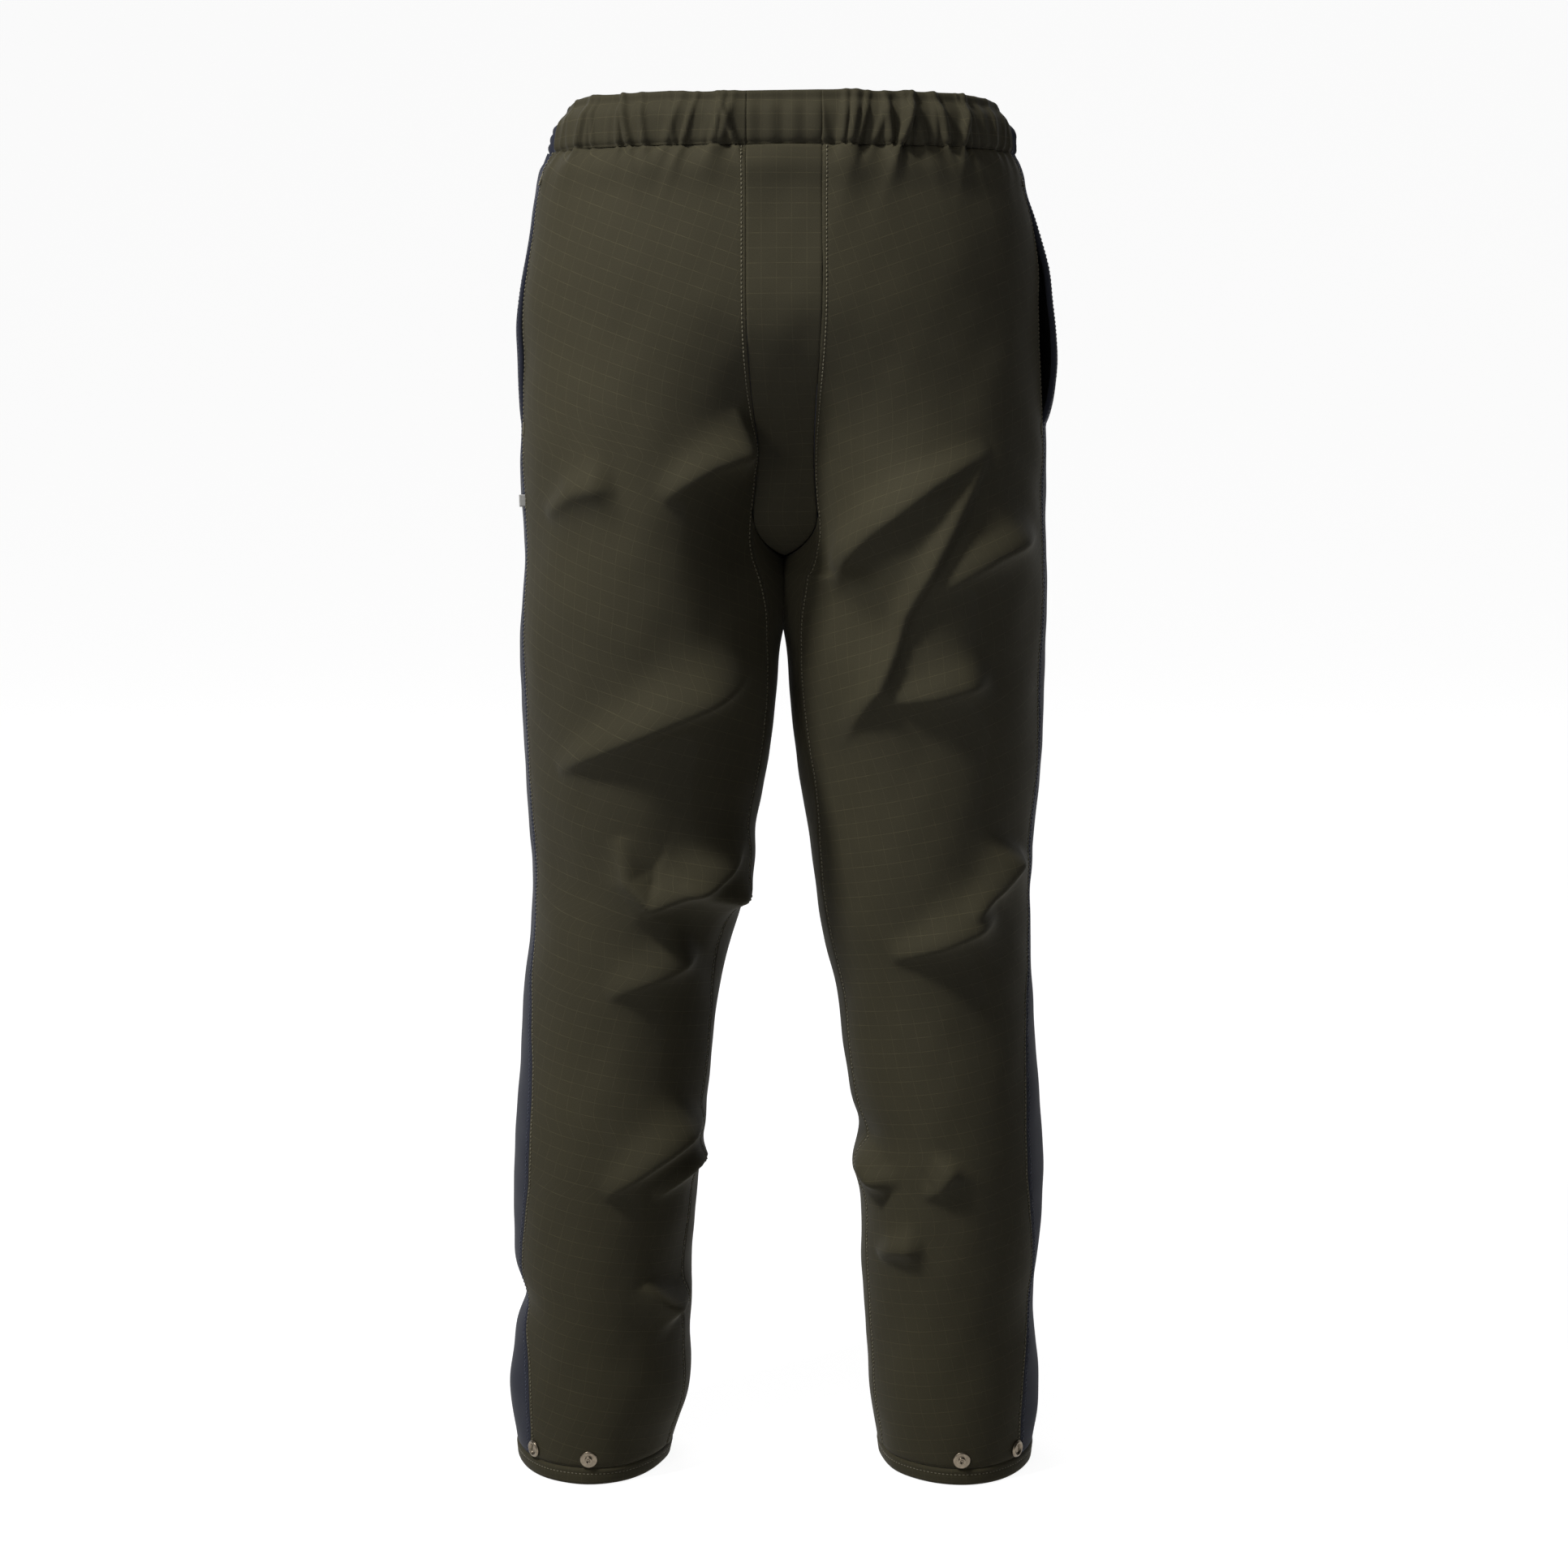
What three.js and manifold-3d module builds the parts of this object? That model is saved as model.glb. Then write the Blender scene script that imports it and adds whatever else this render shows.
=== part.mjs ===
// Saw-protective over-trousers: a two-tone shell of sewn panels with an elasticated waist casing,
// side pockets, a front zip with a snap tab, saw pads in the fronts of both legs, and a press-stud
// adjuster at each hem. The shell keeps the shape it has on a wearer.
//
// Millimetres, +Z up. The origin is the centre of the waist opening, at the casing's top edge.
// The wearer faces +Y, so the seat faces -Y, and the wearer's left leg is on -X.
import * as THREE from 'three';
import { mergeVertices } from 'three/addons/utils/BufferGeometryUtils.js';
import Module from 'manifold-3d';

const wasm = await Module();
wasm.setup();

// ---- driving dimensions ----
const outseam = 1040; // waist edge to hem edge
const rise = 335; // waist edge to the lowest point of the crotch
const crotchDip = 35; // how far the crotch hangs below the level where the legs fork
const casingHeight = 37;
const hemBandHeight = 13;
const clothThickness = 2; // shell cloth with its bonded lining
const seamGap = 0.4; // half the slit between two sewn panels
const layerGap = 0.35; // between cloth layers that lie on each other

const waistHalfWidth = 164;
const waistDepth = 104; // centre to front, and centre to back, at the casing
const hipHalfWidth = 194;
const seatDepth = 130;
const frontDepthGain = 14; // how far the straight front line runs forward down to the fly's end
const flyLength = 200; // waist edge to the end of the straight front line
const torsoRoundness = 2.3; // exponent of the torso's superellipse

const stripHalfWidth = 27; // the strip down the middle of the seat
const flyHalfGap = 6.5; // between the centre line and each front panel's edge
const gussetHalfAngle = THREE.MathUtils.degToRad(40); // share of each leg that the inner gusset takes
const legLean = 7; // both legs hang this far towards the wearer's left at the hem
const sideSeamHigh = THREE.MathUtils.degToRad(20); // the side seam lies this far behind the thigh's side
const sideSeamLow = THREE.MathUtils.degToRad(37); // and this far behind the calf's

const pocketTop = 62; // the pocket mouth's ends, below the waist edge
const pocketBottom = 236;
const pocketGapeLeft = 10; // how far each mouth's front edge stands off
const pocketGapeRight = 14;
const pocketReach = 0.5; // share of the front panel that the pocket bag covers
const bagDepth = 12; // the bag's inner layer lies this far inside the shell

const padTop = 250; // the saw pad's ends, below the waist edge
const padBottomMargin = 52; // pad's lower end to the hem edge
const padThickness = 5.5;
const liningThickness = 0.9;

const elasticThickness = 2;
const casingClothThickness = 1.6;
const snapRadius = 6.6;
const snapHeight = 21; // press studs' centres above the hem edge
const studColumn = 4; // facets of the back panel, from the inner leg, that carry the studs
const socketColumn = 8;

// Girth of one leg at shares of the way from crotch to hem: distances of its inner and outer
// sides from the middle of the garment, and of its back and front from the waist's centre.
const legStations = [
  { at: 0.0, inner: 8, outer: 199, back: 124, front: 117 },
  { at: 0.09, inner: 3, outer: 200, back: 121, front: 115 },
  { at: 0.2, inner: 8, outer: 200, back: 113, front: 110 },
  { at: 0.38, inner: 31, outer: 194, back: 99, front: 97 },
  { at: 0.52, inner: 49, outer: 198, back: 98, front: 83 },
  { at: 0.66, inner: 60, outer: 204, back: 101, front: 72 },
  { at: 0.88, inner: 70, outer: 204, back: 93, front: 66 },
  { at: 1.0, inner: 84, outer: 200, back: 88, front: 62 },
];

// ---- levels, worked out from the sizes above ----
const forkLevel = -(rise - crotchDip);
const panelTop = -casingHeight - seamGap;
const panelBottom = -outseam + hemBandHeight + seamGap;
const padBottom = -outseam + padBottomMargin;
const mainHalfAngle = Math.PI - gussetHalfAngle;
const hipLevel = -(pocketTop + pocketBottom) / 2;

const smooth = (x) => THREE.MathUtils.smoothstep(x, 0, 1);
const lerp = THREE.MathUtils.lerp;

// A smooth curve through [level, value] points given from the top down.
function profile(points) {
  const slope = (i) => {
    const a = points[Math.max(i - 1, 0)];
    const b = points[Math.min(i + 1, points.length - 1)];
    return (b[1] - a[1]) / (b[0] - a[0]);
  };
  return (z) => {
    let i = 0;
    while (i < points.length - 2 && z < points[i + 1][0]) i++;
    const [z0, v0] = points[i];
    const [z1, v1] = points[i + 1];
    const step = z1 - z0;
    const u = THREE.MathUtils.clamp((z - z0) / step, 0, 1);
    const h = u * u * (3 - 2 * u);
    const rise0 = slope(i) * step * u * (1 - u) ** 2;
    const rise1 = slope(i + 1) * step * u * u * (u - 1);
    return v0 * (1 - h) + v1 * h + rise0 + rise1;
  };
}

const legLevel = (share) => -(rise + share * (outseam - rise));
const legProfile = (key) => profile(legStations.map((s) => [legLevel(s.at), s[key]]));
const leg = {
  inner: legProfile('inner'),
  outer: legProfile('outer'),
  back: legProfile('back'),
  front: legProfile('front'),
};
const torsoHalfWidth = profile([
  [0, waistHalfWidth],
  [-casingHeight, waistHalfWidth + 6],
  [-pocketTop - 24, hipHalfWidth - 8],
  [hipLevel, hipHalfWidth],
  [-pocketBottom, hipHalfWidth + 1],
  [-rise, legStations[0].outer],
]);
const torsoBack = profile([
  [0, waistDepth],
  [-casingHeight, waistDepth],
  [hipLevel, seatDepth - 5],
  [-pocketBottom, seatDepth],
  [-rise, legStations[0].back],
]);
const frontLine = (z) => waistDepth + (frontDepthGain * -z) / flyLength;
const frontEase = profile([
  [-flyLength, frontLine(-flyLength)],
  [forkLevel, legStations[0].front + 2],
  [-rise, legStations[0].front],
]);
const torsoFront = (z) => (z > -flyLength ? frontLine(z) : frontEase(z));

// A point of the torso's outline: turn is -1 at the seat strip, 0 at the side and 1 at the fly.
function torsoPoint(turn, z) {
  const width = torsoHalfWidth(z);
  const edge = turn < 0 ? stripHalfWidth : flyHalfGap;
  const limit = Math.acos((edge / width) ** (torsoRoundness / 2));
  const angle = Math.abs(turn) * limit;
  const depth = turn < 0 ? -torsoBack(z) : torsoFront(z);
  const power = 2 / torsoRoundness;
  return [width * Math.cos(angle) ** power, depth * Math.sin(angle) ** power];
}

// A point of one leg's outline: angle is 0 at the outer side, negative behind, pi at the inner side.
function legPoint(angle, z) {
  const middleX = (leg.outer(z) + leg.inner(z)) / 2;
  const halfX = (leg.outer(z) - leg.inner(z)) / 2;
  const middleY = (leg.front(z) - leg.back(z)) / 2;
  const halfY = (leg.front(z) + leg.back(z)) / 2;
  return [middleX + halfX * Math.cos(angle), middleY + halfY * Math.sin(angle)];
}

const leanAt = (z) => legLean * Math.max(0, (-z - rise) / (outseam - rise));

// A point of the shell on one side (-1 left, 1 right), for a turn from -1 (seat) to 1 (fly).
function shellPoint(side, turn, z) {
  const backBlend = smooth((-z - flyLength * 0.7) / (rise - crotchDip - flyLength * 0.7));
  const frontBlend = smooth((-z - flyLength) / (rise - crotchDip - flyLength));
  const share = lerp(backBlend, frontBlend, smooth((turn + 1) / 2));
  const upper = torsoPoint(turn, z);
  const lower = legPoint(turn * mainHalfAngle, z);
  const x = lerp(upper[0], lower[0], share);
  const y = lerp(upper[1], lower[1], share);
  return new THREE.Vector3(side * x - leanAt(z), y, z);
}

// A point of the inner-leg gusset, for across from -1 (back seam) to 1 (front seam).
function gussetPoint(side, across, z) {
  const [x, y] = legPoint(Math.PI - across * gussetHalfAngle, z);
  return new THREE.Vector3(side * x - leanAt(z), y, z);
}

// The point at a depth inside a surface, along its normal. turnSign says which way u runs.
function inside(surface, u, z, depth, turnSign) {
  const e = 1e-3;
  const across = surface(u + e, z).sub(surface(u - e, z));
  const down = surface(u, z - e * 100).sub(surface(u, z + e * 100));
  const normal = across.cross(down).normalize().multiplyScalar(turnSign);
  return surface(u, z).addScaledVector(normal, depth);
}
const shellInside = (side, turn, z, depth) =>
  inside((u, v) => shellPoint(side, u, v), turn, z, depth, side);
const gussetInside = (side, across, z, depth) =>
  inside((u, v) => gussetPoint(side, u, v), across, z, depth, -side);

const sideSeamTurn = (z) => {
  const share = smooth((-z - rise) / (0.5 * (outseam - rise)));
  return -lerp(sideSeamHigh, sideSeamLow, share) / mainHalfAngle;
};

// ---- rows and columns that all cloth layers share, so that their facets stay parallel ----
function subdivide(levels, step) {
  const out = [levels[0]];
  for (let i = 1; i < levels.length; i++) {
    const parts = Math.max(1, Math.round(Math.abs(levels[i] - levels[i - 1]) / step));
    for (let k = 1; k <= parts; k++) out.push(lerp(levels[i - 1], levels[i], k / parts));
  }
  return out;
}
const rowStep = 44;
const rows = subdivide(
  [panelTop, -pocketTop, -flyLength, -pocketBottom, -padTop, forkLevel, -rise, padBottom, panelBottom],
  rowStep,
);
const rowsBetween = (top, bottom) => rows.filter((z) => z <= top + 1e-6 && z >= bottom - 1e-6);
const backColumns = 9;
const frontColumns = 10;
const gussetColumns = 4;
const range = (n) => Array.from({ length: n + 1 }, (_, i) => i);

// A turn value on the shared columns, kept seamGap away from the panel's own edges.
function edgeTurn(z, from, to, column, count) {
  const margin = seamGap / (leg.back(z) + leg.front(z));
  if (column === 0) return from + margin;
  return column === count ? to - margin : lerp(from, to, column / count);
}
const backTurn = (z, column) => edgeTurn(z, -1, sideSeamTurn(z), column, backColumns);
const frontTurn = (z, column) => edgeTurn(z, sideSeamTurn(z), 1, column, frontColumns);

// ---- solids from grids of points ----
function geometryFrom(points, triangles) {
  let volume = 0;
  const cross = new THREE.Vector3();
  for (const [a, b, c] of triangles)
    volume += points[a].dot(cross.crossVectors(points[b], points[c]));
  const flat = [];
  for (const [a, b, c] of triangles)
    for (const i of volume > 0 ? [a, b, c] : [a, c, b]) flat.push(...points[i].toArray());
  const geometry = new THREE.BufferGeometry();
  geometry.setAttribute('position', new THREE.Float32BufferAttribute(flat, 3));
  geometry.computeVertexNormals();
  return geometry;
}

const quad = (a, b, c, d) => [[a, b, c], [a, c, d]];

// Rings of points joined one after the other. capQuads closes both ends; without it the rings
// close on themselves.
function loft(rings, capQuads) {
  const size = rings[0].length;
  const triangles = [];
  const steps = capQuads ? rings.length - 1 : rings.length;
  for (let r = 0; r < steps; r++) {
    const here = r * size;
    const next = ((r + 1) % rings.length) * size;
    for (let k = 0; k < size; k++) {
      const k2 = (k + 1) % size;
      triangles.push(...quad(here + k, here + k2, next + k2, next + k));
    }
  }
  if (capQuads) {
    const last = (rings.length - 1) * size;
    for (const [a, b, c, d] of capQuads) {
      triangles.push(...quad(d, c, b, a));
      triangles.push(...quad(last + a, last + b, last + c, last + d));
    }
  }
  return geometryFrom(rings.flat(), triangles);
}

// A sheet with thickness: outer and inner are grids of the same size. Both faces split their
// cells along the same diagonal, so sheets on the same grid nest.
function slab(outer, inner) {
  const count = outer[0].length;
  const last = outer.length - 1;
  const at = (r, c, far) => (far * (last + 1) + r) * count + c;
  const triangles = [];
  for (let r = 0; r < last; r++) {
    for (let c = 0; c < count - 1; c++) {
      triangles.push(...quad(at(r, c, 0), at(r + 1, c, 0), at(r + 1, c + 1, 0), at(r, c + 1, 0)));
      triangles.push(...quad(at(r, c, 1), at(r, c + 1, 1), at(r + 1, c + 1, 1), at(r + 1, c, 1)));
    }
    for (const [c, a, b] of [[0, 1, 0], [count - 1, 0, 1]])
      triangles.push(...quad(at(r, c, a), at(r + 1, c, a), at(r + 1, c, b), at(r, c, b)));
  }
  for (let c = 0; c < count - 1; c++)
    for (const [r, a, b] of [[0, 0, 1], [last, 1, 0]])
      triangles.push(...quad(at(r, c, a), at(r, c + 1, a), at(r, c + 1, b), at(r, c, b)));
  return geometryFrom([...outer.flat(), ...inner.flat()], triangles);
}

const paint = {
  olive: new THREE.MeshStandardMaterial({ color: '#46443a', roughness: 0.85 }),
  navy: new THREE.MeshStandardMaterial({ color: '#31343f', roughness: 0.8 }),
  black: new THREE.MeshStandardMaterial({ color: '#17181a', roughness: 0.9 }),
  pad: new THREE.MeshStandardMaterial({ color: '#c9b56a', roughness: 0.95 }),
  lining: new THREE.MeshStandardMaterial({ color: '#202226', roughness: 0.9 }),
  elastic: new THREE.MeshStandardMaterial({ color: '#e4e2dc', roughness: 0.9 }),
  label: new THREE.MeshStandardMaterial({ color: '#eceae6', roughness: 0.7 }),
  metal: new THREE.MeshStandardMaterial({ color: '#8c857a', roughness: 0.35, metalness: 1 }),
  tape: new THREE.MeshStandardMaterial({ color: '#1c1e24', roughness: 0.9 }),
};

const garment = new THREE.Group();
function add(name, geometry, material, parent = garment) {
  const mesh = new THREE.Mesh(geometry, material);
  mesh.name = name;
  parent.add(mesh);
  return mesh;
}
const sides = [
  { name: 'left', side: -1, gape: pocketGapeLeft },
  { name: 'right', side: 1, gape: pocketGapeRight },
];

// ---- shell panels ----
// How far the front panel's edge stands off at the pocket mouth.
function gapeAt(gape, turn, z) {
  const along = (-z - pocketTop) / (pocketBottom - pocketTop);
  if (along <= 0 || along >= 1) return 0;
  const fromEdge = (turn - sideSeamTurn(z)) / 0.42;
  return gape * Math.sin(Math.PI * along) ** 0.8 * (1 - smooth(fromEdge));
}

function panelGeometry(side, turnAt, columns, levels, near, far, lift = () => 0) {
  const grid = (depth) =>
    levels.map((z) =>
      columns.map((c) => shellInside(side, turnAt(z, c), z, depth - lift(turnAt(z, c), z))),
    );
  return slab(grid(near), grid(far));
}

// A round hole through a sheet, for a press stud's post.
function solidOf(geometry) {
  const positions = new THREE.BufferGeometry();
  positions.setAttribute('position', geometry.attributes.position);
  positions.setIndex(geometry.index);
  const bare = mergeVertices(positions, 1e-3);
  return new wasm.Manifold(
    new wasm.Mesh({
      numProp: 3,
      vertProperties: bare.attributes.position.array,
      triVerts: new Uint32Array(bare.index.array),
    }),
  );
}
function geometryOf(solid) {
  const { vertProperties, triVerts } = solid.getMesh();
  const out = new THREE.BufferGeometry();
  out.setAttribute('position', new THREE.BufferAttribute(vertProperties, 3));
  out.setIndex(new THREE.BufferAttribute(triVerts, 1));
  return out.toNonIndexed();
}
const subtract = (geometry, tools) =>
  geometryOf(tools.reduce((solid, tool) => solid.subtract(solidOf(tool)), solidOf(geometry)));
const union = ([first, ...rest]) =>
  geometryOf(rest.reduce((solid, piece) => solid.add(solidOf(piece)), solidOf(first)));

// ---- press studs: turned parts, standing on +Y before they are placed ----
const postRadius = 1.8;
const holeClearance = 0.4;
const turnSegments = 16;
const turned = (outline) =>
  new THREE.LatheGeometry(outline.map(([r, h]) => new THREE.Vector2(r, h)), turnSegments);
const flangeThickness = 1.1;
const studHeadRadius = 3.0;
const socketBore = 3.6;
const socketHeight = 2.3;

// Rests on the cloth at height 0, and its post runs down through the cloth.
const studPart = (cloth = clothThickness) =>
  turned([
    [0, -cloth],
    [postRadius, -cloth],
    [postRadius, layerGap],
    [snapRadius, layerGap],
    [snapRadius, layerGap + flangeThickness * 0.6],
    [snapRadius - 0.8, layerGap + flangeThickness],
    [studHeadRadius - 0.6, layerGap + flangeThickness],
    [studHeadRadius, layerGap + flangeThickness + 1.3],
    [studHeadRadius - 0.5, layerGap + flangeThickness + 1.8],
    [0, layerGap + flangeThickness + 1.8],
  ]);
const socketPart = () =>
  turned([
    [0, -clothThickness],
    [postRadius, -clothThickness],
    [postRadius, layerGap],
    [snapRadius, layerGap],
    [snapRadius, layerGap + socketHeight - 0.6],
    [snapRadius - 0.7, layerGap + socketHeight],
    [socketBore, layerGap + socketHeight],
    [socketBore, layerGap + 0.7],
    [0, layerGap + 0.7],
  ]);
// The cap on the cloth's other side, with a cup for the end of the post.
const backingPart = (cloth = clothThickness) =>
  turned([
    [0, -cloth - layerGap - 1.2],
    [snapRadius - 1, -cloth - layerGap - 1.2],
    [snapRadius, -cloth - layerGap - 0.7],
    [snapRadius, -cloth - layerGap],
    [0, -cloth - layerGap],
  ]);

// Turns a part that stands on +Y to stand on the shell at a point.
function standOn(mesh, at, outward) {
  mesh.position.copy(at);
  mesh.quaternion.setFromUnitVectors(new THREE.Vector3(0, 1, 0), outward.normalize());
  return mesh;
}
function onShell(mesh, side, turn, z) {
  const surface = shellPoint(side, turn, z);
  return standOn(mesh, surface, shellInside(side, turn, z, -1).sub(surface));
}
// The same, on the flat of a facet: midway between two columns, at a level between two rows.
function onFacet(mesh, side, turnAt, column, z, above, below) {
  const corner = (c, row) => shellPoint(side, turnAt(row, c), row);
  const share = (above - z) / (above - below);
  const near = corner(column, above).lerp(corner(column, below), share);
  const far = corner(column + 1, above).lerp(corner(column + 1, below), share);
  const up = corner(column, above).add(corner(column + 1, above));
  up.sub(corner(column, below)).sub(corner(column + 1, below));
  const outward = far.clone().sub(near).cross(up).multiplyScalar(side);
  return standOn(mesh, near.lerp(far, 0.5), outward);
}
const snapLevel = -outseam + snapHeight;
const panelRows = rowsBetween(panelTop, panelBottom);
const [rowBelowSnap, rowAboveSnap] = [
  Math.max(...panelRows.filter((row) => row < snapLevel)),
  Math.min(...panelRows.filter((row) => row > snapLevel)),
];
const onHem = (mesh, side, column) =>
  onFacet(mesh, side, backTurn, column, snapLevel, rowAboveSnap, rowBelowSnap);
// The waist's snap stands on the right front casing, next to the fly.
const onWaist = (mesh) =>
  onFacet(mesh, 1, frontTurn, frontColumns - 1, -casingHeight / 2, 0, -casingHeight);

// A round hole for a post, where place puts it.
function postHole(place, length) {
  const radius = postRadius + holeClearance;
  const drill = new THREE.CylinderGeometry(radius, radius, length, 12);
  const mesh = place(new THREE.Mesh(drill));
  mesh.updateMatrix();
  return drill.applyMatrix4(mesh.matrix);
}

for (const { name, side, gape } of sides) {
  const backGeometry = panelGeometry(
    side, backTurn, range(backColumns), panelRows, 0, clothThickness,
  );
  const holes = [studColumn, socketColumn].map((column) =>
    postHole((mesh) => onHem(mesh, side, column), 14),
  );
  add(`back_panel_${name}`, subtract(backGeometry, holes), paint.olive);
  add(
    `front_panel_${name}`,
    panelGeometry(side, frontTurn, range(frontColumns), panelRows, 0, clothThickness, (turn, z) =>
      gapeAt(gape, turn, z),
    ),
    paint.navy,
  );
}

// ---- seat strip: down the middle of the seat, under the crotch and up to the fly ----
const forkCurve = (across) => forkLevel - crotchDip * Math.cos((across * Math.PI) / 2);
const crotchSteps = 8;
const stripPath = [
  ...rowsBetween(panelTop, forkLevel + 1).map((z) => [(s) => shellPoint(s, -1, z)]),
  ...range(crotchSteps).map((k) => {
    const across = lerp(-1, 1, k / crotchSteps);
    return [(s) => gussetPoint(s, across, forkCurve(across))];
  }),
  ...rowsBetween(-flyLength - 1, forkLevel + 1)
    .reverse()
    .map((z) => [(s) => shellPoint(s, 1, z)]),
];
function stripGrid(depth) {
  const rail = stripPath.map(([edge]) => {
    const a = edge(-1);
    const b = edge(1);
    const inset = b.clone().sub(a).normalize().multiplyScalar(seamGap);
    return [a.add(inset), b.sub(inset)];
  });
  return rail.map(([a, b], i) => {
    const before = rail[Math.max(i - 1, 0)][0];
    const after = rail[Math.min(i + 1, rail.length - 1)][0];
    const along = after.clone().sub(before);
    const inward = b.clone().sub(a).cross(along).normalize();
    const middle = a.clone().lerp(b, 0.5);
    return [a, middle, b].map((p) => p.clone().addScaledVector(inward, -depth));
  });
}
add('seat_strip', slab(stripGrid(0), stripGrid(clothThickness)), paint.olive);

// ---- inner-leg gussets ----
for (const { name, side } of sides) {
  const lower = rowsBetween(-rise - 8, panelBottom);
  const across = range(gussetColumns).map((k) => lerp(-0.992, 0.992, k / gussetColumns));
  const grid = (depth) => [
    across.map((a) => gussetInside(side, a, forkCurve(a) - 2 * seamGap, depth)),
    ...lower.map((z) => across.map((a) => gussetInside(side, a, z, depth))),
  ];
  add(`inner_leg_gusset_${name}`, slab(grid(0), grid(clothThickness)), paint.olive);
}

// ---- hem bands ----
for (const { name, side } of sides) {
  const loop = (z, depth) => [
    ...range(backColumns).map((c) => shellInside(side, backTurn(z, c), z, depth)),
    ...range(frontColumns).map((c) => shellInside(side, frontTurn(z, c), z, depth)),
    ...range(gussetColumns - 2).map((k) =>
      gussetInside(side, lerp(0.5, -0.5, k / (gussetColumns - 2)), z, depth),
    ),
  ];
  const top = -outseam + hemBandHeight;
  const bottom = -outseam;
  const bandThickness = clothThickness + 1;
  const flatten = (points, z) => points.map((p) => p.setZ(z));
  const corners = [
    flatten(loop(top, 0), top),
    flatten(loop(top, bandThickness), top),
    flatten(loop(bottom, bandThickness), bottom),
    flatten(loop(bottom, 0), bottom),
  ];
  const rings = corners[0].map((_, i) => corners.map((corner) => corner[i]));
  add(`hem_band_${name}`, loft(rings), paint.olive);
}

// ---- waist casing: a folded tunnel, with the elastic inside ----
const elasticEase = 0.8; // between the elastic and the tunnel's walls
const tunnel = elasticThickness + 2 * elasticEase;
const casingThickness = 2 * casingClothThickness + tunnel;
function casingSection(at) {
  const w = casingClothThickness;
  const t = casingThickness;
  const bottom = -casingHeight;
  const outline = [[0, bottom], [0, 0], [t, 0], [t, bottom]];
  const hollow = [[t - w, bottom], [t - w, -w], [w, -w], [w, bottom]];
  return [...outline, ...hollow].map(([depth, z]) => at(z, depth));
}
const casingCaps = [[0, 1, 6, 7], [1, 2, 5, 6], [2, 3, 4, 5]];
for (const { name, side } of sides) {
  const wall = (turnAt, column) =>
    casingSection((z, depth) => shellInside(side, turnAt(z, column), z, depth).setZ(z));
  add(
    `waist_casing_back_${name}`,
    loft(range(backColumns).map((c) => wall(backTurn, c)), casingCaps),
    paint.olive,
  );
  const frontWall = loft(range(frontColumns).map((c) => wall(frontTurn, c)), casingCaps);
  add(
    `waist_casing_front_${name}`,
    side > 0 ? subtract(frontWall, [postHole(onWaist, 2 * casingClothThickness + 1)]) : frontWall,
    paint.navy,
  );
}
const stripCasingEdge = (side) => (z, depth) => {
  const p = shellInside(side, -1, z, depth).setZ(z);
  return p.setX(p.x - side * seamGap);
};
add(
  'waist_casing_strip',
  loft([-1, 1].map((side) => casingSection(stripCasingEdge(side))), casingCaps),
  paint.olive,
);

const elasticEndColumn = frontColumns - 1;
const elasticStops = [
  ...range(elasticEndColumn).reverse().map((c) => [-1, frontTurn, c]),
  ...range(backColumns).reverse().map((c) => [-1, backTurn, c]),
  ...range(backColumns).map((c) => [1, backTurn, c]),
  ...range(elasticEndColumn).map((c) => [1, frontTurn, c]),
];
const elasticTop = -casingClothThickness - elasticEase;
const elasticNear = casingClothThickness + elasticEase;
const elasticFar = elasticNear + elasticThickness;
const elasticBottom = -casingHeight + 3;
add(
  'waist_elastic',
  loft(
    elasticStops.map(([side, turnAt, column]) =>
      [
        [elasticNear, elasticBottom],
        [elasticNear, elasticTop],
        [elasticFar, elasticTop],
        [elasticFar, elasticBottom],
      ].map(([depth, z]) => shellInside(side, turnAt(z, column), z, depth).setZ(z)),
    ),
    [[0, 1, 2, 3]],
  ),
  paint.elastic,
);

// ---- saw pads and their linings, inside the front of each leg ----
const padRows = rowsBetween(-padTop, padBottom);
const padNear = clothThickness + layerGap;
const padFar = padNear + padThickness;
for (const { name, side } of sides) {
  const columns = range(frontColumns).slice(1, -1);
  add(
    `saw_pad_${name}`,
    panelGeometry(side, frontTurn, columns, padRows, padNear, padFar),
    paint.pad,
  );
  add(
    `pad_lining_${name}`,
    panelGeometry(side, frontTurn, columns, padRows, padFar + layerGap, padFar + layerGap + liningThickness),
    paint.lining,
  );
}

// ---- pockets: behind each mouth, a folded bag and the facing that closes it to the side seam ----
const bagThickness = 0.9;
const facingThickness = 1.2;
const facingColumn = 2; // the facing runs from the side seam to this column
const bagFoldColumn = Math.round(pocketReach * frontColumns);
const pocketRows = rowsBetween(-pocketTop, -pocketBottom);
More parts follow.
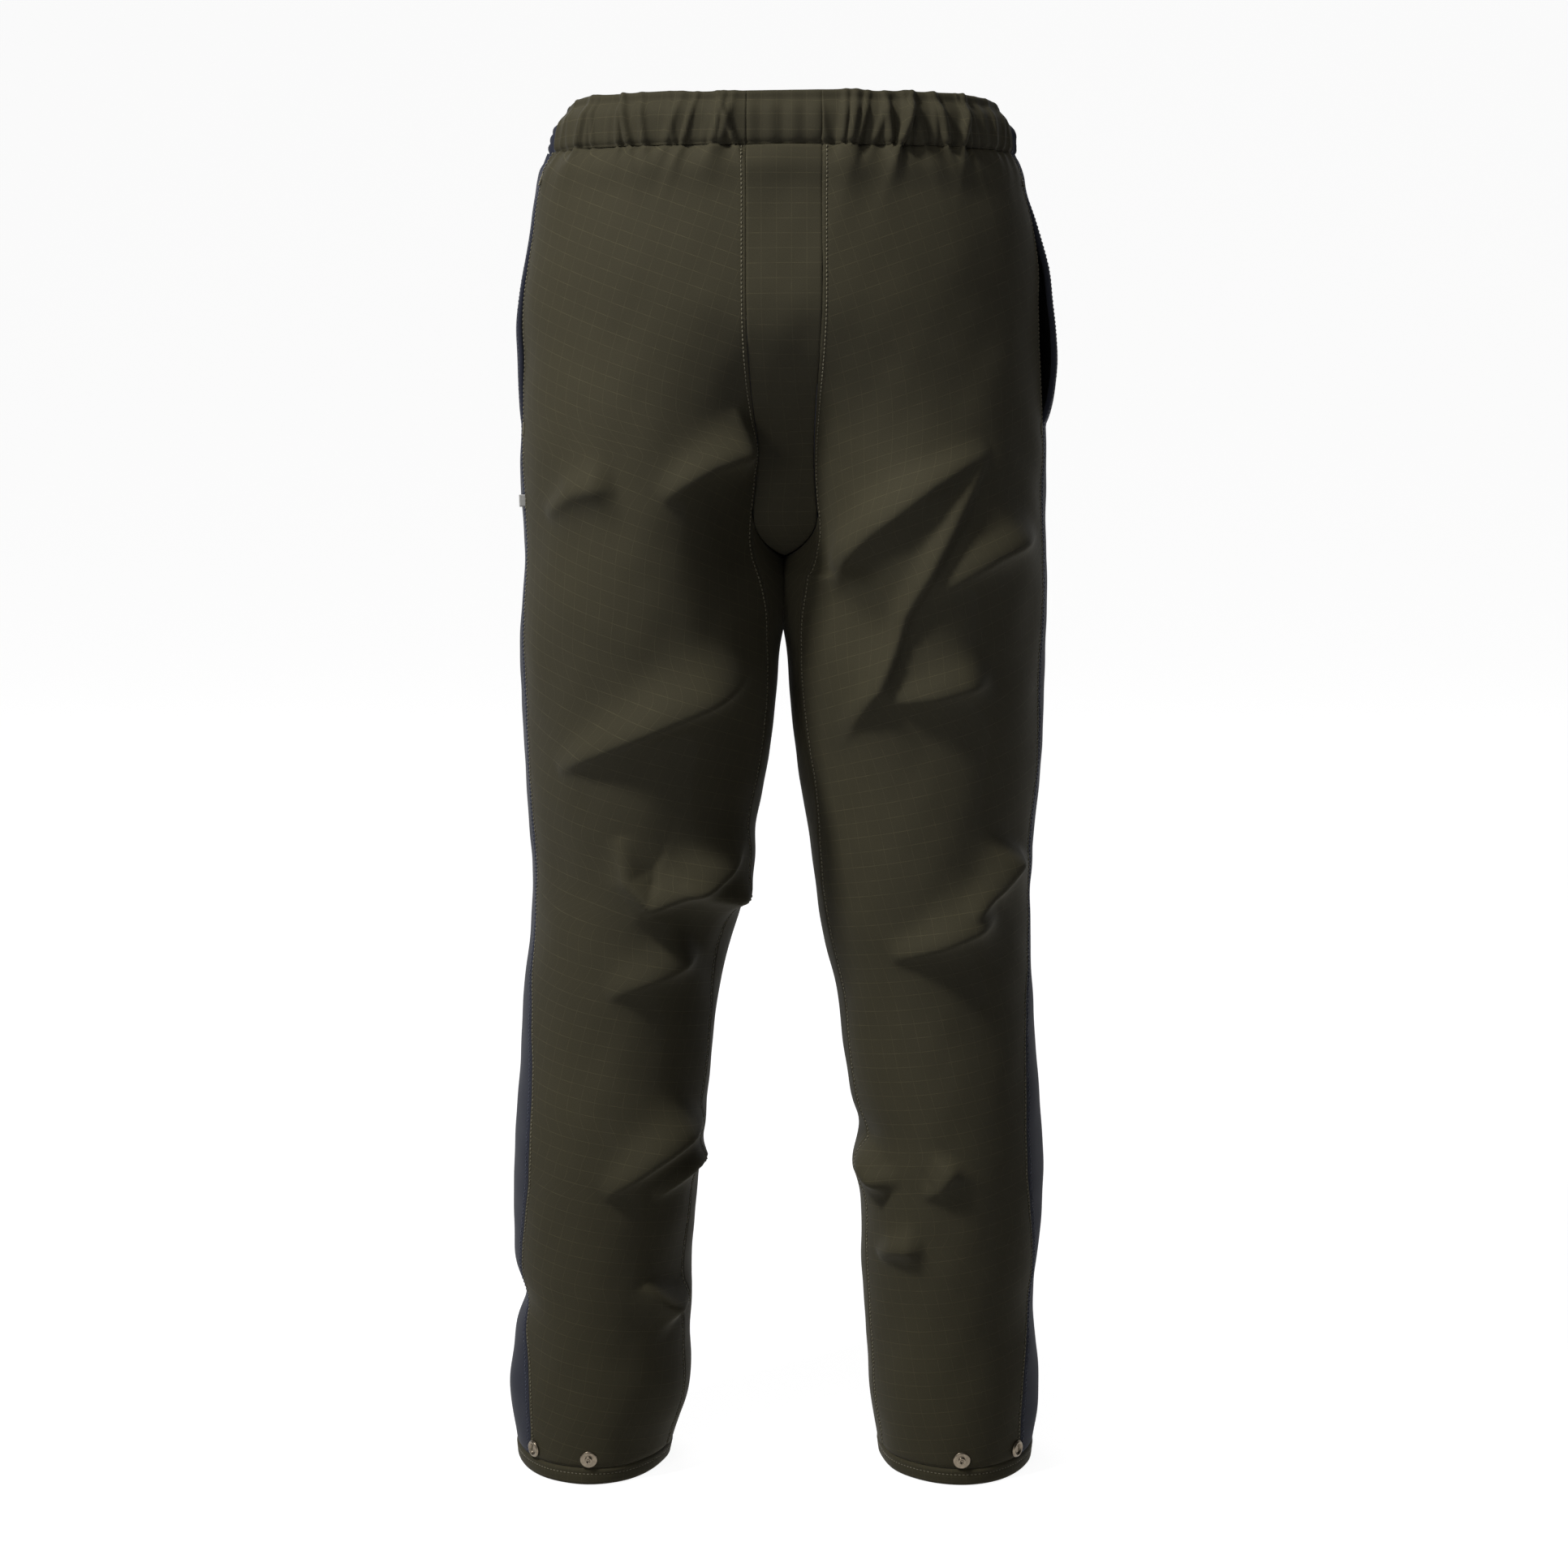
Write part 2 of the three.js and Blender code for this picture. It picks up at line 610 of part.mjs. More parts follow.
// The bag's inner layer comes up to the outer one at the top and bottom seams.
const bagDepthAtEnds = padNear + bagThickness + layerGap;
function bagDepthAt(z) {
  const fromEnd = Math.min(-z - pocketTop, z + pocketBottom);
  return lerp(bagDepthAtEnds, bagDepth, smooth(fromEnd / 45));
}
for (const { name, side, gape } of sides) {
  const outerLayer = range(bagFoldColumn);
  const innerLayer = [...range(bagFoldColumn).slice(facingColumn + 1).reverse(), facingColumn + 0.04];
  const bagGrid = (isFar) =>
    pocketRows.map((z) => [
      ...outerLayer.map((c) => {
        const turn = frontTurn(z, c);
        const depth = padNear - gapeAt(gape, turn, z) + (isFar ? bagThickness : 0);
        return shellInside(side, turn, z, depth);
      }),
      ...innerLayer.map((c) => {
        const fold = c === bagFoldColumn ? bagThickness : 0;
        const depth = bagDepthAt(z) + (isFar ? 0 : bagThickness);
        const turn = frontTurn(z, c) + (isFar ? -fold : fold) / 200;
        return shellInside(side, turn, z, depth);
      }),
    ]);
  add(`pocket_bag_${name}`, slab(bagGrid(false), bagGrid(true)), paint.black);

  const facingGrid = (extra) =>
    pocketRows.map((z) =>
      [0, 1, facingColumn - 0.04].map((c) => {
        const depth = lerp(bagDepthAtEnds, bagDepthAt(z), c / facingColumn);
        return shellInside(side, frontTurn(z, c), z, depth + extra);
      }),
    );
  add(`pocket_facing_${name}`, slab(facingGrid(0), facingGrid(facingThickness)), paint.navy);
}

// Bar tacks at both ends of each pocket mouth.
const tack = { length: 9, width: 2.2, height: 0.9 };
for (const { name, side } of sides)
  for (const [end, z] of [
    ['top', -pocketTop + 3],
    ['bottom', -pocketBottom - 3],
  ]) {
    const box = new THREE.BoxGeometry(tack.width, tack.height, tack.length);
    const mesh = add(`pocket_bar_tack_${end}_${name}`, box, paint.olive);
    onShell(mesh, side, sideSeamTurn(z) - 0.02, z);
    mesh.translateY(tack.height / 2 + layerGap);
  }

// ---- press-stud hem adjusters ----
for (const { name, side } of sides) {
  for (const [part, column, shape] of [
    ['stud', studColumn, studPart],
    ['socket', socketColumn, socketPart],
  ]) {
    const metal = add(`hem_snap_${part}_${name}`, shape(), paint.metal);
    onHem(metal, side, column);
    const backing = add(`hem_snap_${part}_backing_${name}`, backingPart(), paint.metal);
    onHem(backing, side, column);
  }
}

// ---- labels ----
const sideLabel = { out: 4.6, thickness: 0.8, height: 9, level: -292 };
const sideTag = add(
  'side_label_left',
  new THREE.BoxGeometry(sideLabel.thickness, sideLabel.out, sideLabel.height),
  paint.label,
);
onShell(sideTag, -1, sideSeamTurn(sideLabel.level) + 0.008, sideLabel.level);
sideTag.translateY(sideLabel.out / 2 + layerGap);

const careLabel = { width: 30, height: 55, thickness: 0.5 };
const careDepth = casingThickness - casingClothThickness / 2;
add(
  'care_label',
  new THREE.BoxGeometry(careLabel.width, careLabel.thickness, careLabel.height),
  paint.label,
).position.set(
  0,
  -torsoBack(-casingHeight) + careDepth,
  -casingHeight - layerGap - careLabel.height / 2,
);

// ---- front closure, on the straight front line ----
// Local frame: +Y out of the cloth, +Z up the front line, origin at the waist edge.
const front = new THREE.Group();
front.position.set(0, waistDepth, 0);
front.rotation.x = Math.atan(frontDepthGain / flyLength);
garment.add(front);
function block(x0, x1, y0, y1, z0, z1) {
  return new THREE.BoxGeometry(x1 - x0, y1 - y0, z1 - z0)
    .translate((x0 + x1) / 2, (y0 + y1) / 2, (z0 + z1) / 2)
    .toNonIndexed();
}
const toothTip = 0.85; // each row's tips from the centre line
const toothRoot = 3.6;
const tapeInset = 0.75; // the tape's outer face lies this far inside the cloth
const tapeThickness = 0.75;
const chainThickness = 2.2;
const tapeOut = -clothThickness - tapeInset; // faces of tape and chain, from the cloth's face
const tapeIn = tapeOut - tapeThickness;
const toothIn = tapeIn + 0.1;
const toothOut = toothIn + chainThickness;
const tapeEdge = toothRoot + layerGap;
const tapeWidth = 12;
const zipTop = -casingHeight - 3.5;
const zipBottom = -flyLength + 4;
const toothPitch = 5.6;
const stopHeight = 3;
const chainTop = zipTop - stopHeight - layerGap;
const chainBottom = zipBottom + stopHeight + layerGap;

for (const { name, side } of sides) {
  const span = (a, b) => (side > 0 ? [a, b] : [-b, -a]);
  add(
    `zip_tape_${name}`,
    block(...span(tapeEdge, tapeEdge + tapeWidth), tapeIn, tapeOut, zipBottom, zipTop),
    paint.tape,
    front,
  );
  const chain = [block(...span(toothRoot - 1, toothRoot), toothIn, toothOut, chainBottom, chainTop)];
  for (let z = chainTop - toothPitch / 2; z > chainBottom + 1; z -= toothPitch)
    chain.push(block(...span(toothTip, toothRoot - 0.5), toothIn + 0.2, toothOut - 0.2, z - 1.5, z + 1.5));
  add(`zip_teeth_${name}`, union(chain), paint.metal, front);
  add(
    `zip_top_stop_${name}`,
    block(...span(toothTip, toothRoot), toothIn, toothOut, zipTop - stopHeight, zipTop),
    paint.metal,
    front,
  );
}
add(
  'zip_bottom_stop',
  block(-toothRoot, toothRoot, toothIn, toothOut, zipBottom, zipBottom + stopHeight),
  paint.metal,
  front,
);

// The slider: two plates round the chain, joined by a post, and a bridge for the pull.
const slider = { halfWidth: 5.1, length: 9, plate: 1, post: 0.5, clear: 0.4 };
const sliderTop = chainTop - 0.6;
const sliderMid = sliderTop - slider.length / 2;
const plateIn = toothOut + slider.clear;
const faceOut = plateIn + slider.plate + 0.9;
const backOut = toothIn - slider.clear; // the back plate's faces
const backIn = backOut - slider.plate;
const bridge = { halfWidth: 1, thickness: 0.9, clear: 2, foot: 1.2 };
function sliderSolid() {
  const half = slider.halfWidth;
  const bottom = sliderTop - slider.length;
  const bar = faceOut + bridge.clear;
  const pieces = [
    block(-half, half, plateIn, faceOut, bottom, sliderTop),
    block(-half + 0.6, half - 0.6, backIn, backOut, bottom, sliderTop),
    block(-slider.post, slider.post, toothIn - 1, plateIn + 0.5, sliderMid - 3, sliderMid + 3),
    block(-1, 1, faceOut - 0.5, bar, sliderTop - bridge.foot, sliderTop),
    block(-1, 1, faceOut - 0.5, bar, sliderMid - 2.5, sliderMid - 2.5 + bridge.foot),
    block(-1, 1, bar - 0.1, bar + bridge.thickness, sliderMid - 2.5, sliderTop),
  ];
  return union(pieces);
}
add('zip_slider', sliderSolid(), paint.metal, front);

// The pull hangs from a cross bar under the bridge.
const pull = { barRadius: 0.6, halfWidth: 3.2, arm: 1, length: 26, thickness: 1.1 };
const pivotOut = faceOut + bridge.clear / 2;
const pivotUp = sliderMid + 1;
function pullSolid() {
  const bar = new THREE.CylinderGeometry(pull.barRadius, pull.barRadius, 2 * pull.halfWidth, 10)
    .rotateZ(Math.PI / 2)
    .translate(0, pivotOut, pivotUp)
    .toNonIndexed();
  const y0 = pivotOut - pull.thickness / 2;
  const y1 = pivotOut + pull.thickness / 2;
  const eye = 7.5;
  const arms = [-1, 1].map((s) =>
    block(
      Math.min(s * pull.halfWidth, s * (pull.halfWidth - pull.arm)),
      Math.max(s * pull.halfWidth, s * (pull.halfWidth - pull.arm)),
      y0, y1, pivotUp - eye, pivotUp + 0.4,
    ),
  );
  const plate = block(-pull.halfWidth, pull.halfWidth, y0, y1, pivotUp - pull.length, pivotUp - eye + 0.2);
  return union([bar, ...arms, plate]);
}
add('zip_pull', pullSolid(), paint.metal, front);

// ---- fly shield, behind the zip ----
const shieldHalfWidth = 22;
const shieldOut = backIn - layerGap;
add(
  'fly_shield',
  block(
    -shieldHalfWidth, shieldHalfWidth, shieldOut - 1, shieldOut, zipBottom, -casingHeight - layerGap,
  ),
  paint.navy,
  front,
);

// ---- waist tab: sewn to the left casing, snapped on the right one ----
const capHeight = 1.8;
const tab = { height: 27, thickness: 2, sewnFrom: -36, stitchLine: -18, overhang: 11 };
const snapSeat = onWaist(new THREE.Object3D());
snapSeat.updateMatrix();
const tabLift = 2 * layerGap + flangeThickness + socketHeight;
const socketLift = layerGap + flangeThickness + layerGap;

onWaist(add('waist_snap_stud', studPart(casingClothThickness), paint.metal));
onWaist(add('waist_snap_stud_backing', backingPart(casingClothThickness), paint.metal));

// The socket faces the stud, and its post runs out through the tab to the cap.
const waistSocket = turned([
  [socketBore, socketLift],
  [snapRadius, socketLift],
  [snapRadius, socketLift + socketHeight],
  [postRadius, socketLift + socketHeight],
  [postRadius, socketLift + socketHeight + layerGap + tab.thickness],
  [0, socketLift + socketHeight + layerGap + tab.thickness],
  [0, socketLift + socketHeight - 0.5],
  [socketBore, socketLift + socketHeight - 0.5],
  [socketBore, socketLift],
]);
onWaist(add('waist_snap_socket', waistSocket, paint.metal));
const capBase = tabLift + layerGap + tab.thickness + layerGap;
const waistCap = turned([
  [0, capBase],
  [snapRadius + 0.9, capBase],
  [snapRadius + 0.9, capBase + 0.6],
  [snapRadius - 1, capBase + 1.4],
  [snapRadius - 3, capBase + capHeight],
  [0, capBase + capHeight],
]);
onWaist(add('waist_snap_cap', waistCap, paint.metal));

// A point over the left casing, or over the snap, at a height off the cloth.
function tabPoint(x, z, height) {
  const surfaceTurn = (target) => {
    const width = torsoHalfWidth(z);
    const limit = Math.acos((flyHalfGap / width) ** (torsoRoundness / 2));
    return Math.acos((Math.abs(target) / width) ** (torsoRoundness / 2)) / limit;
  };
  return shellInside(-1, surfaceTurn(x), z, -height).setZ(z);
}
const tabEdges = [1, -1].map((sign) => (sign * tab.height - casingHeight) / 2);
const tabRow = (x, height) => tabEdges.map((z) => tabPoint(x, z, height));
const rootHeight = 0.9;
const rootStops = [tab.sewnFrom, (tab.sewnFrom + tab.stitchLine) / 2, tab.stitchLine];
const rootGrid = (extra) => rootStops.map((x) => tabRow(x, rootHeight + extra));
add('waist_tab_root', slab(rootGrid(tab.thickness), rootGrid(0)), paint.olive);

const overSnap = (along, up, height) =>
  new THREE.Vector3(along, height, up).applyMatrix4(snapSeat.matrix);
const tabStart = tab.stitchLine + 2 * layerGap;
const tabGrid = (extra) => {
  const half = tab.height / 2;
  const level = tabLift + layerGap + extra;
  return [
    tabRow(tabStart, rootHeight + extra),
    ...[-tab.overhang, tab.overhang].map((along) => [
      overSnap(along, half, level),
      overSnap(along, -half, level),
    ]),
  ];
};
const tabBody = subtract(slab(tabGrid(tab.thickness), tabGrid(0)), [postHole(onWaist, 30)]);
add('waist_tab', tabBody, paint.olive);

export default garment;
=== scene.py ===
"""Saw-protective over-trousers: cloth shell, waist casing, pockets, zip, saw pads and press studs.

Everything is in the part's own frame: metres, +Z up, the seat facing -Y, the wearer's left on -X,
and the origin at the centre of the waist opening. Sizes inside the classes are in millimetres.
"""

import logging
import math
from dataclasses import dataclass, field
from enum import Enum
from functools import partial
from typing import Callable, Sequence

import bmesh
import bpy
import numpy as np
from mathutils import Matrix, Vector

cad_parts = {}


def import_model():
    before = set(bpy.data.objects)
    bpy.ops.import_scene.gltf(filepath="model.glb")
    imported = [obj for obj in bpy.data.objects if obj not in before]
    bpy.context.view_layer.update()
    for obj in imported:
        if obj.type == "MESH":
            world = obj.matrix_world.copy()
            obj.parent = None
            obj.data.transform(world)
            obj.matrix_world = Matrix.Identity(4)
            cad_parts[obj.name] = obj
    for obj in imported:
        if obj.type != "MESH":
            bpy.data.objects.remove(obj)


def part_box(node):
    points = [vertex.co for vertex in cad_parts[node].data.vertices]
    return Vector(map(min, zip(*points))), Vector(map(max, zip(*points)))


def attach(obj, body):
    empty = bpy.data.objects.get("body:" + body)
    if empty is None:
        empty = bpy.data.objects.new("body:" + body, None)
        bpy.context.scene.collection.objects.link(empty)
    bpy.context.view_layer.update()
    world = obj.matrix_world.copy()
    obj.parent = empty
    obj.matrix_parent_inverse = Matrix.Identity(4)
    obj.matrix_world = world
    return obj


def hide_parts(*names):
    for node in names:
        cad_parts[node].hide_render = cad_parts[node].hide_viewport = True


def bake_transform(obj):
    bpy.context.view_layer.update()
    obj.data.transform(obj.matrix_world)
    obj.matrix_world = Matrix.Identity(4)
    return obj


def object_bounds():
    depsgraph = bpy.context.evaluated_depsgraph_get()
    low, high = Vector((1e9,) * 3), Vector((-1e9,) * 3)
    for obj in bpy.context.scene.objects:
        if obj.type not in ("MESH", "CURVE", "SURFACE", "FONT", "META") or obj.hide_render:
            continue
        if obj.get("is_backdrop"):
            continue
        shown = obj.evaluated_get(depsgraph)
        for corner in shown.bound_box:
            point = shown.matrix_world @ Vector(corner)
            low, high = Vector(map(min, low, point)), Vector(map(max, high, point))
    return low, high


log = logging.getLogger("overtrousers")

MM = 0.001
Array = np.ndarray


# ---------------------------------------------------------------- small maths


def smooth(x: Array | float) -> Array | float:
    """Return the smooth step of x between 0 and 1."""
    t = np.clip(x, 0.0, 1.0)
    return t * t * (3 - 2 * t)


def mix(a: Array | float, b: Array | float, t: Array | float) -> Array | float:
    """Return the value a share t of the way from a to b."""
    return a + (b - a) * t


def bell(x: Array | float, width: float) -> Array | float:
    """Return a bell curve of x: 1 in the middle, 1/e at the width."""
    return np.exp(-((x / width) ** 2))


def spread(a: Array | float, b: Array | float) -> list[Array]:
    """Return two sets of coordinates as arrays of one shape."""
    return np.broadcast_arrays(np.asarray(a, float), np.asarray(b, float))


def distances(path: Array) -> Array:
    """Return the distance along a path of (n, 3) points at each of them."""
    return np.concatenate([[0], np.cumsum(np.linalg.norm(np.diff(path, axis=0), axis=1))])


def sampled(path: Array, run: Array, at: Array) -> Array:
    """Return a path's points, whose distances are run, at other distances."""
    return np.stack([np.interp(at, run, path[:, k]) for k in range(3)], -1)


def unit(v: Array) -> Array:
    """Return vectors scaled to length one."""
    return v / np.maximum(np.linalg.norm(v, axis=-1, keepdims=True), 1e-12)


class Profile:
    """A smooth curve through (level, value) points given from the top down."""

    def __init__(self, points: Sequence[tuple[float, float]]) -> None:
        """Keep the points and work out a slope at each.

        Args:
            points: level and value pairs, highest level first.
        """
        self.z = np.array([p[0] for p in points], float)
        self.v = np.array([p[1] for p in points], float)
        last = len(points) - 1
        before = np.maximum(np.arange(last + 1) - 1, 0)
        after = np.minimum(np.arange(last + 1) + 1, last)
        self.slope = (self.v[after] - self.v[before]) / (self.z[after] - self.z[before])

    def __call__(self, z: Array | float) -> Array:
        """Return the curve's value at each level.

        Args:
            z: levels in millimetres.

        Returns:
            The values there.
        """
        z = np.asarray(z, float)
        i = np.clip(np.searchsorted(-self.z, -z, side="left") - 1, 0, len(self.z) - 2)
        step = self.z[i + 1] - self.z[i]
        u = np.clip((z - self.z[i]) / step, 0, 1)
        h = u * u * (3 - 2 * u)
        ease_in = self.slope[i] * step * u * (1 - u) ** 2
        ease_out = self.slope[i + 1] * step * u * u * (u - 1)
        return self.v[i] * (1 - h) + self.v[i + 1] * h + ease_in + ease_out


# ---------------------------------------------------------------- the worn shape


class Side(Enum):
    """Which leg a piece belongs to, with its sign along X."""

    LEFT = -1
    RIGHT = 1

    @property
    def label(self) -> str:
        """Return the side's word for piece names."""
        return self.name.lower()


@dataclass(frozen=True)
class Station:
    """One leg's girth at a share of the way from crotch to hem."""

    at: float
    inner: float
    outer: float
    back: float
    front: float


@dataclass
class BodyForm:
    """The shape that the cloth has on a wearer, before its folds."""

    outseam: float = 1040
    rise: float = 335
    crotch_dip: float = 35
    casing_height: float = 37
    waist_half_width: float = 164
    waist_depth: float = 104
    hip_half_width: float = 194
    seat_depth: float = 130
    front_gain: float = 14
    fly_length: float = 200
    roundness: float = 2.3
    strip_half: float = 27
    fly_half_gap: float = 6.5
    gusset_angles: tuple[tuple[float, float], ...] = (
        (-300, 28), (-420, 22), (-640, 22), (-780, 19), (-1040, 19),
    )
    lean: float = 7
    seam_angles: tuple[tuple[float, float], ...] = (
        (0, 20), (-560, 20), (-610, 17), (-700, 30),
        (-800, 37), (-885, 27), (-970, 38), (-1040, 37),
    )
    pocket_top: float = 62
    pocket_bottom: float = 236
    stations: tuple[Station, ...] = (
        Station(0.0, 8, 199, 124, 117),
        Station(0.09, 3, 200, 121, 115),
        Station(0.2, 8, 200, 113, 110),
        Station(0.38, 31, 194, 99, 97),
        Station(0.52, 49, 198, 98, 83),
        Station(0.66, 60, 204, 101, 72),
        Station(0.88, 70, 204, 93, 66),
        Station(1.0, 84, 200, 88, 62),
    )

    def __post_init__(self) -> None:
        """Build the level curves."""
        first = self.stations[0]
        self.fork = -(self.rise - self.crotch_dip)
        self.gusset_half = Profile([(z, math.radians(a)) for z, a in self.gusset_angles])
        self.seam_angle = Profile([(z, math.radians(a)) for z, a in self.seam_angles])
        hip = -(self.pocket_top + self.pocket_bottom) / 2
        inseam = self.outseam - self.rise
        self.leg = {
            key: Profile([(-(self.rise + s.at * inseam), getattr(s, key)) for s in self.stations])
            for key in ("inner", "outer", "back", "front")
        }
        self.torso_half = Profile(
            [
                (0, self.waist_half_width),
                (-self.casing_height, self.waist_half_width + 6),
                (-self.pocket_top - 24, self.hip_half_width - 8),
                (hip, self.hip_half_width),
                (-self.pocket_bottom, self.hip_half_width + 1),
                (-self.rise, first.outer),
            ]
        )
        self.torso_back = Profile(
            [
                (0, self.waist_depth),
                (-self.casing_height, self.waist_depth),
                (hip, self.seat_depth - 5),
                (-self.pocket_bottom, self.seat_depth),
                (-self.rise, first.back),
            ]
        )
        self.front_ease = Profile(
            [
                (-self.fly_length, self.front_line(-self.fly_length)),
                (self.fork, first.front + 2),
                (-self.rise, first.front),
            ]
        )

    def front_line(self, z: Array | float) -> Array | float:
        """Return the straight front line's distance from the middle."""
        return self.waist_depth - self.front_gain * z / self.fly_length

    def torso_front(self, z: Array) -> Array:
        """Return the front's depth at each level."""
        return np.where(z > -self.fly_length, self.front_line(z), self.front_ease(z))

    def lean_at(self, z: Array) -> Array:
        """Return how far the legs hang to the wearer's left at each level."""
        return self.lean * np.maximum(0, (-z - self.rise) / (self.outseam - self.rise))

    def torso_point(self, turn: Array, z: Array) -> tuple[Array, Array]:
        """Return x and y on the torso's outline, turn -1 at the seat strip and 1 at the fly.

        Args:
            turn: where round the torso.
            z: levels.

        Returns:
            The x and y of each point.
        """
        width = self.torso_half(z)
        edge = np.where(turn < 0, self.strip_half, self.fly_half_gap)
        angle = np.abs(turn) * np.arccos((edge / width) ** (self.roundness / 2))
        depth = np.where(turn < 0, -self.torso_back(z), self.torso_front(z))
        power = 2 / self.roundness
        cosine = np.cos(angle)
        x = width * np.sign(cosine) * np.abs(cosine) ** power
        return x, depth * np.abs(np.sin(angle)) ** power

    def leg_point(self, angle: Array, z: Array) -> tuple[Array, Array]:
        """Return x and y on one leg's outline, angle 0 at its outer side, negative behind.

        Args:
            angle: angle round the leg, radians.
            z: levels.

        Returns:
            The x and y of each point.
        """
        outer, inner = self.leg["outer"](z), self.leg["inner"](z)
        front, back = self.leg["front"](z), self.leg["back"](z)
        x = (outer + inner) / 2 + (outer - inner) / 2 * np.cos(angle)
        return x, (front - back) / 2 + (front + back) / 2 * np.sin(angle)

    def shell(self, side: Side, turn: Array, z: Array) -> Array:
        """Return points of the main shell.

        Args:
            side: the leg.
            turn: from -1 at the back's inner edge to 1 at the front's.
            z: levels.

        Returns:
            Points, millimetres.
        """
        turn, z = spread(turn, z)
        start = self.fly_length * 0.7
        back = smooth((-z - start) / (self.rise - self.crotch_dip - start))
        front = smooth((-z - self.fly_length) / (self.rise - self.crotch_dip - self.fly_length))
        share = mix(back, front, smooth((turn + 1) / 2))
        ux, uy = self.torso_point(turn, z)
        lx, ly = self.leg_point(turn * (math.pi - self.gusset_half(z)), z)
        x = side.value * mix(ux, lx, share) - self.lean_at(z)
        return np.stack([x, mix(uy, ly, share), z], axis=-1)

    def gusset(self, side: Side, across: Array, z: Array) -> Array:
        """Return points of the inner-leg gusset, across from -1 (back seam) to 1 (front seam).

        Args:
            side: the leg.
            across: where across it.
            z: levels.

        Returns:
            Points in millimetres.
        """
        across, z = spread(across, z)
        x, y = self.leg_point(math.pi - across * self.gusset_half(z), z)
        return np.stack([side.value * x - self.lean_at(z), y, z], axis=-1)

    def seam_turn(self, z: Array | float) -> Array:
        """Return where the side seam runs at each level."""
        z = np.asarray(z, float)
        return -self.seam_angle(z) / (math.pi - self.gusset_half(z))

    def fork_curve(self, across: Array) -> Array:
        """Return the level of the crotch seam across the gusset."""
        return self.fork - self.crotch_dip * (1 - np.clip(across, -1, 1) ** 2) ** 0.6


# ---------------------------------------------------------------- folds


class Face(Enum):
    """The way a fold's cloth looks, as the sign of its normal along Y."""

    BACK = -1
    FRONT = 1


@dataclass(frozen=True)
class Fold:
    """A ridge of cloth along a path of (x, z) points, steep on its lower side."""

    path: tuple[tuple[float, float], ...]
    height: float
    above: float
    below: float
    face: Face = Face.BACK
    grow: float = 0.6
    crest: float = 0.7

    def lift(self, points: Array, normals: Array) -> Array:
        """Return how far the fold raises each point.

        Args:
            points: points of the plain form.
            normals: outward normals there.

        Returns:
            Heights in millimetres.
        """
        path = np.array(self.path, float)
        reach = 3.2 * max(self.above, self.below)
        x, z = points[..., 0], points[..., 2]
        near = (
            (x > path[:, 0].min() - reach)
            & (x < path[:, 0].max() + reach)
            & (z > path[:, 1].min() - reach)
            & (z < path[:, 1].max() + reach)
            & (normals[..., 1] * self.face.value > -0.2)
            & (np.sign(path[:, 0].mean()) * x > -12)
        )
        out = np.zeros(x.shape)
        if not near.any():
            return out
        q = np.stack([x[near], z[near]], axis=-1)
        start, end = path[:-1], path[1:]
        seg = end - start
        length = np.linalg.norm(seg, axis=1)
        total = length.sum()
        base = np.concatenate([[0], np.cumsum(length)[:-1]])
        best = np.full(len(q), np.inf)
        along = np.zeros(len(q))
        signed = np.zeros(len(q))
        for i in range(len(seg)):
            rel = q - start[i]
            t = np.clip((rel @ seg[i]) / length[i] ** 2, 0, 1)
            gap = rel - t[:, None] * seg[i]
            distance = np.linalg.norm(gap, axis=1)
            up = np.array([-seg[i][1], seg[i][0]]) / length[i]
            up = up if seg[i][0] >= 0 else -up
            closer = distance < best
            best = np.where(closer, distance, best)
            along = np.where(closer, (base[i] + t * length[i]) / total, along)
            signed = np.where(closer, np.sign(gap @ up) * distance, signed)
        width = mix(1 - self.grow, 1.0, np.sin(np.clip(along, 0.02, 1) * math.pi / 2))
        upper = bell(signed, self.above * width)
        lower = np.exp(-(np.hypot(signed, self.crest) - self.crest) / (self.below * width))
        taper = np.sin(np.clip(along / 0.75, 0, 1) * math.pi / 2) ** 0.8 * smooth((1 - along) / 0.3)
        facing = smooth((normals[near][..., 1] * self.face.value + 0.1) / 0.35)
        facing = facing * smooth((np.abs(x[near]) - 16 + 60 * (z[near] < -345)) / 22)
        out[near] = self.height * np.where(signed > 0, upper, lower) * taper * facing
        return out


@dataclass(frozen=True)
class Bulge:
    """A soft swelling, or a hollow if its height is negative, round a point in space."""

    centre: tuple[float, float, float]
    radii: tuple[float, float, float]
    height: float

    def lift(self, points: Array) -> Array:
        """Return how far the bulge raises each point."""
        d = (points - np.array(self.centre)) / np.array(self.radii)
        return self.height * np.exp(-(d**2).sum(axis=-1))


class Ripple:
    """Random soft waves, the same on every run, for cloth that is never quite smooth."""

    def __init__(self, seed: int, wavelength: float, count: int = 14) -> None:
        """Draw the waves.

        Args:
            seed: seed of the draw.
            wavelength: mean wavelength in millimetres.
            count: number of waves.
        """
        rng = np.random.default_rng(seed)
        heading = unit(rng.normal(size=(count, 3)))
        self.k = heading * (2 * math.pi / (wavelength * rng.uniform(0.6, 1.7, (count, 1))))
        self.phase = rng.uniform(0, 2 * math.pi, count)
        self.scale = 1 / math.sqrt(count)

    def __call__(self, points: Array) -> Array:
        """Return the waves' sum at each point, about -1.5 to 1.5."""
        return np.sin(points @ self.k.T + self.phase).sum(axis=-1) * self.scale


